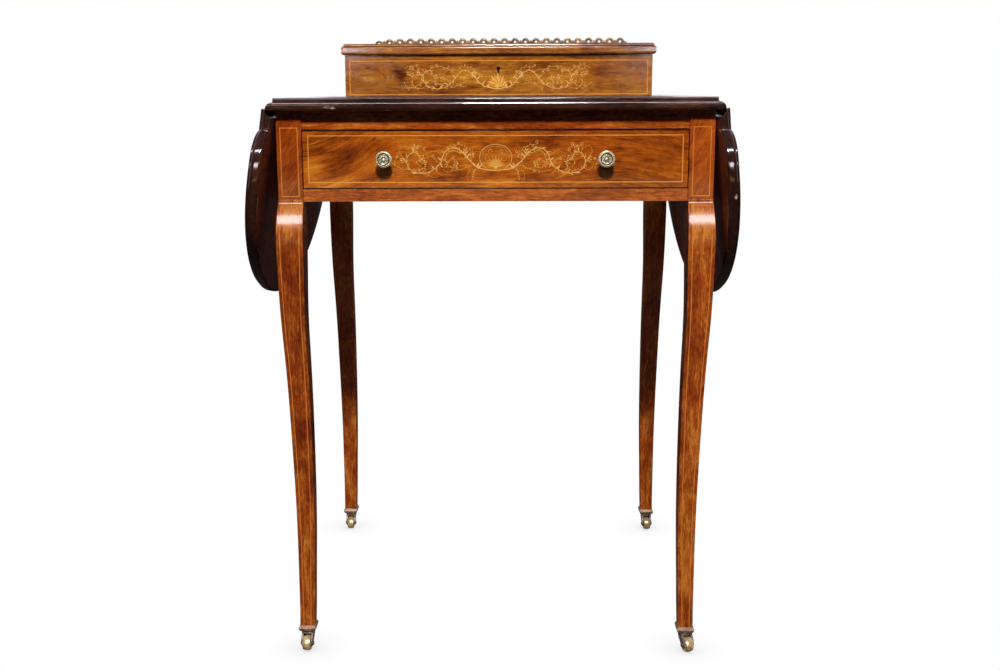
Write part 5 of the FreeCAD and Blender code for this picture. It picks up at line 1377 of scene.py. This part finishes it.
# ------------------------------------------------------------------ finishes for the CAD nodes that stay
FINISH = {
    "table_top": M_DARKX, "writing_panel": M_LEATHER, "drawer_front": M_DRAWER, "box_front": M_BOXF,
    "box_lid": M_LID, "front_rail_top": M_RAIL, "front_rail_bottom": M_RAIL, "back_rail": M_BACK,
    "side_rail_left": M_SIDE, "side_rail_right": M_SIDE, "box_side_left": M_SIDE,
    "box_side_right": M_SIDE, "box_back": M_BACK, "box_bottom": M_OAKX, "drawer_bottom": M_OAKX,
    "drawer_back": M_OAKX, "drawer_side_left": M_OAKY, "drawer_side_right": M_OAKY,
    "drawer_runners": M_OAKY, "drawer_kickers": M_OAKY, "drawer_stops": M_OAKX,
    "bracket_blocks": M_OAKY, "bracket_arms": M_OAKY, "bracket_pins": M_STEEL,
    "caster_sockets": M_COLLAR, "knob_nuts": M_STEEL, "lock_case": M_LOCK, "lock_bolt": M_LOCK,
    "leaf_hinge_pins": M_STEEL, "lid_hinge_pins": M_STEEL, "escutcheon": M_ESC,
    "lock_link_plate": M_BRASS, "leaf_hinge_plates": M_BRASS, "leaf_hinge_flaps_left": M_BRASS,
    "leaf_hinge_flaps_right": M_BRASS, "lid_hinge_plates": M_BRASS, "lid_hinge_flaps": M_BRASS,
}
for k in CORNERS:
    FINISH["caster_axle_" + k] = M_STEEL
for n, m in FINISH.items():
    o = NODE[n]
    if o.data.materials:
        for i in range(len(o.data.materials)):
            o.data.materials[i] = m
    else:
        o.data.materials.append(m)

# ------------------------------------------------------------------ floor, world, lights, camera
scene = bpy.context.scene
fm = bpy.data.meshes.new("studio_floor")
S = 14.0
fm.from_pydata([(-S, -S, 0), (S, -S, 0), (S, S, 0), (-S, S, 0)], [], [(0, 1, 2, 3)])
floor = bpy.data.objects.new("studio_floor", fm)
scene.collection.objects.link(floor)
# For camera rays the floor glows plain white with a painted contact shadow, darker where ambient occlusion finds
# the table near; diffuse rays see a pale pool under the table, near black further out
g = Graph("studio_floor")
lp = g.node("ShaderNodeLightPath")
ao = g.hollow(0.05)
pale = g.noise(g.object_coords(), 3.0, 3.0, 0.5)
shade = g.math("MULTIPLY", g.span(ao, 0.0, 1.0, 0.62, 1.0, smooth=False), g.span(pale, 0.0, 1.0, 0.995, 1.0))
em = g.node("ShaderNodeEmission")
g.put(em.inputs["Color"], g.mix(shade, (0.0, 0.0, 0.0, 1.0), (1.0, 1.0, 1.0, 1.0)))
g.put(em.inputs["Strength"], 1.0)
fx, fy, fz = g.split(g.object_coords())
pool = g.blob(fx, fy, 0.0, 0.02, 0.50, 0.42)
bounce = g.math("MULTIPLY", pool, lp.outputs["Is Diffuse Ray"])
df = g.node("ShaderNodeBsdfDiffuse")
g.put(df.inputs["Color"], g.mix(bounce, (0.045, 0.042, 0.04, 1.0), (0.62, 0.56, 0.50, 1.0)))
mx = g.node("ShaderNodeMixShader")
g.put(mx.inputs[0], lp.outputs["Is Camera Ray"])
g.tree.links.new(df.outputs[0], mx.inputs[1])
g.tree.links.new(em.outputs[0], mx.inputs[2])
g.tree.links.new(mx.outputs[0], g.out.inputs["Surface"])
fm.materials.append(g.mat)

world = bpy.data.worlds.new("studio")
scene.world = world
world.use_nodes = True
wt = world.node_tree
wt.nodes.clear()


class WorldGraph(Graph):
    def __init__(self, tree):
        self.tree = tree
        self.out = tree.nodes.new("ShaderNodeOutputWorld")


w = WorldGraph(wt)
dx_, dy_, dz_ = w.split(w.node("ShaderNodeTexCoord").outputs["Generated"])
behind = w.span(dy_, -0.35, 0.25)
up = w.span(dz_, 0.15, 0.85)
horizon = w.mix(behind, (0.018, 0.016, 0.016, 1.0), (0.95, 0.94, 1.0, 1.0))
sky = w.mix(up, horizon, (0.12, 0.12, 0.16, 1.0))
lpw = w.node("ShaderNodeLightPath")
bg_env = w.node("ShaderNodeBackground")
w.put(bg_env.inputs["Color"], sky)
w.put(bg_env.inputs["Strength"], 1.0)
bg_cam = w.node("ShaderNodeBackground")
w.put(bg_cam.inputs["Color"], (1.0, 1.0, 1.0, 1.0))
mxw = w.node("ShaderNodeMixShader")
w.put(mxw.inputs[0], lpw.outputs["Is Camera Ray"])
wt.links.new(bg_env.outputs[0], mxw.inputs[1])
wt.links.new(bg_cam.outputs[0], mxw.inputs[2])
wt.links.new(mxw.outputs[0], w.out.inputs["Surface"])


def area(name, loc, target, size, power, color=(1, 1, 1), shape="DISK", size_y=None):
    d = bpy.data.lights.new(name, "AREA")
    d.shape = shape
    d.size = size
    if size_y:
        d.size_y = size_y
    d.energy = power
    d.color = color
    o = bpy.data.objects.new(name, d)
    scene.collection.objects.link(o)
    o.location = loc
    o.rotation_euler = (Vector(target) - Vector(loc)).to_track_quat("-Z", "Y").to_euler()
    return o


el, az, dist = math.radians(41), math.radians(1.5), 3.3
tgt = Vector((0, -0.2, 0.6))
key_loc = tgt + Vector((math.sin(az) * math.cos(el), -math.cos(az) * math.cos(el), math.sin(el))) * dist
area("key", key_loc, tgt, 0.42, 134.0, (1.0, 0.985, 0.96), "RECTANGLE", 0.34)
for sgn, nm in ((-1, "left"), (1, "right")):
    box = area("softbox_" + nm, (sgn * 0.8, -3.2, 1.055), (0, -0.24, 0.62), 0.50, 12.0, (0.93, 0.90, 1.0),
               "RECTANGLE", 0.36)
    box.visible_diffuse = False
strip = area("low_strip", (0, -4.5, 0.175), (0, -0.24, 0.6), 3.0, 5.0, (1.0, 0.62, 0.26),
             "RECTANGLE", 0.25)
strip.visible_diffuse = False
# a wide panel beside the key that only the polish mirrors, for the long lines on the mouldings
wide = area("wide_panel", key_loc + Vector((0, 0.1, 0.05)), tgt, 3.0, 105.0, (0.93, 0.90, 1.0),
            "RECTANGLE", 0.34)
wide.visible_diffuse = False

cam_d = bpy.data.cameras.new("camera")
cam = bpy.data.objects.new("camera", cam_d)
scene.collection.objects.link(cam)
scene.camera = cam
cam_d.sensor_fit = "HORIZONTAL"
cam_d.sensor_width = 36.0
cam_d.lens = 1176.0 / 1000.0 * 36.0
cam_d.clip_start = 0.05
cam_d.clip_end = 60.0
pitch, yaw, roll = math.radians(11.325), math.radians(-1.1), math.radians(-0.22)
fw = Vector((math.sin(yaw) * math.cos(pitch), math.cos(yaw) * math.cos(pitch), -math.sin(pitch)))
right = Vector((math.cos(yaw), -math.sin(yaw), 0))
down = fw.cross(right)
if down.z > 0:
    down = -down
cr, sr = math.cos(roll), math.sin(roll)
r2 = right * cr - down * sr
d2 = right * sr + down * cr
cam.matrix_world = Matrix(((r2.x, -d2.x, -fw.x, 0.0134), (r2.y, -d2.y, -fw.y, -1.6748),
                           (r2.z, -d2.z, -fw.z, 0.7301), (0, 0, 0, 1)))
cam_d.shift_x = 0.0161
cam_d.shift_y = -0.0112

scene.view_settings.view_transform = "Standard"
scene.view_settings.look = "None"
scene.view_settings.exposure = 0.0
scene.view_settings.gamma = 1.0
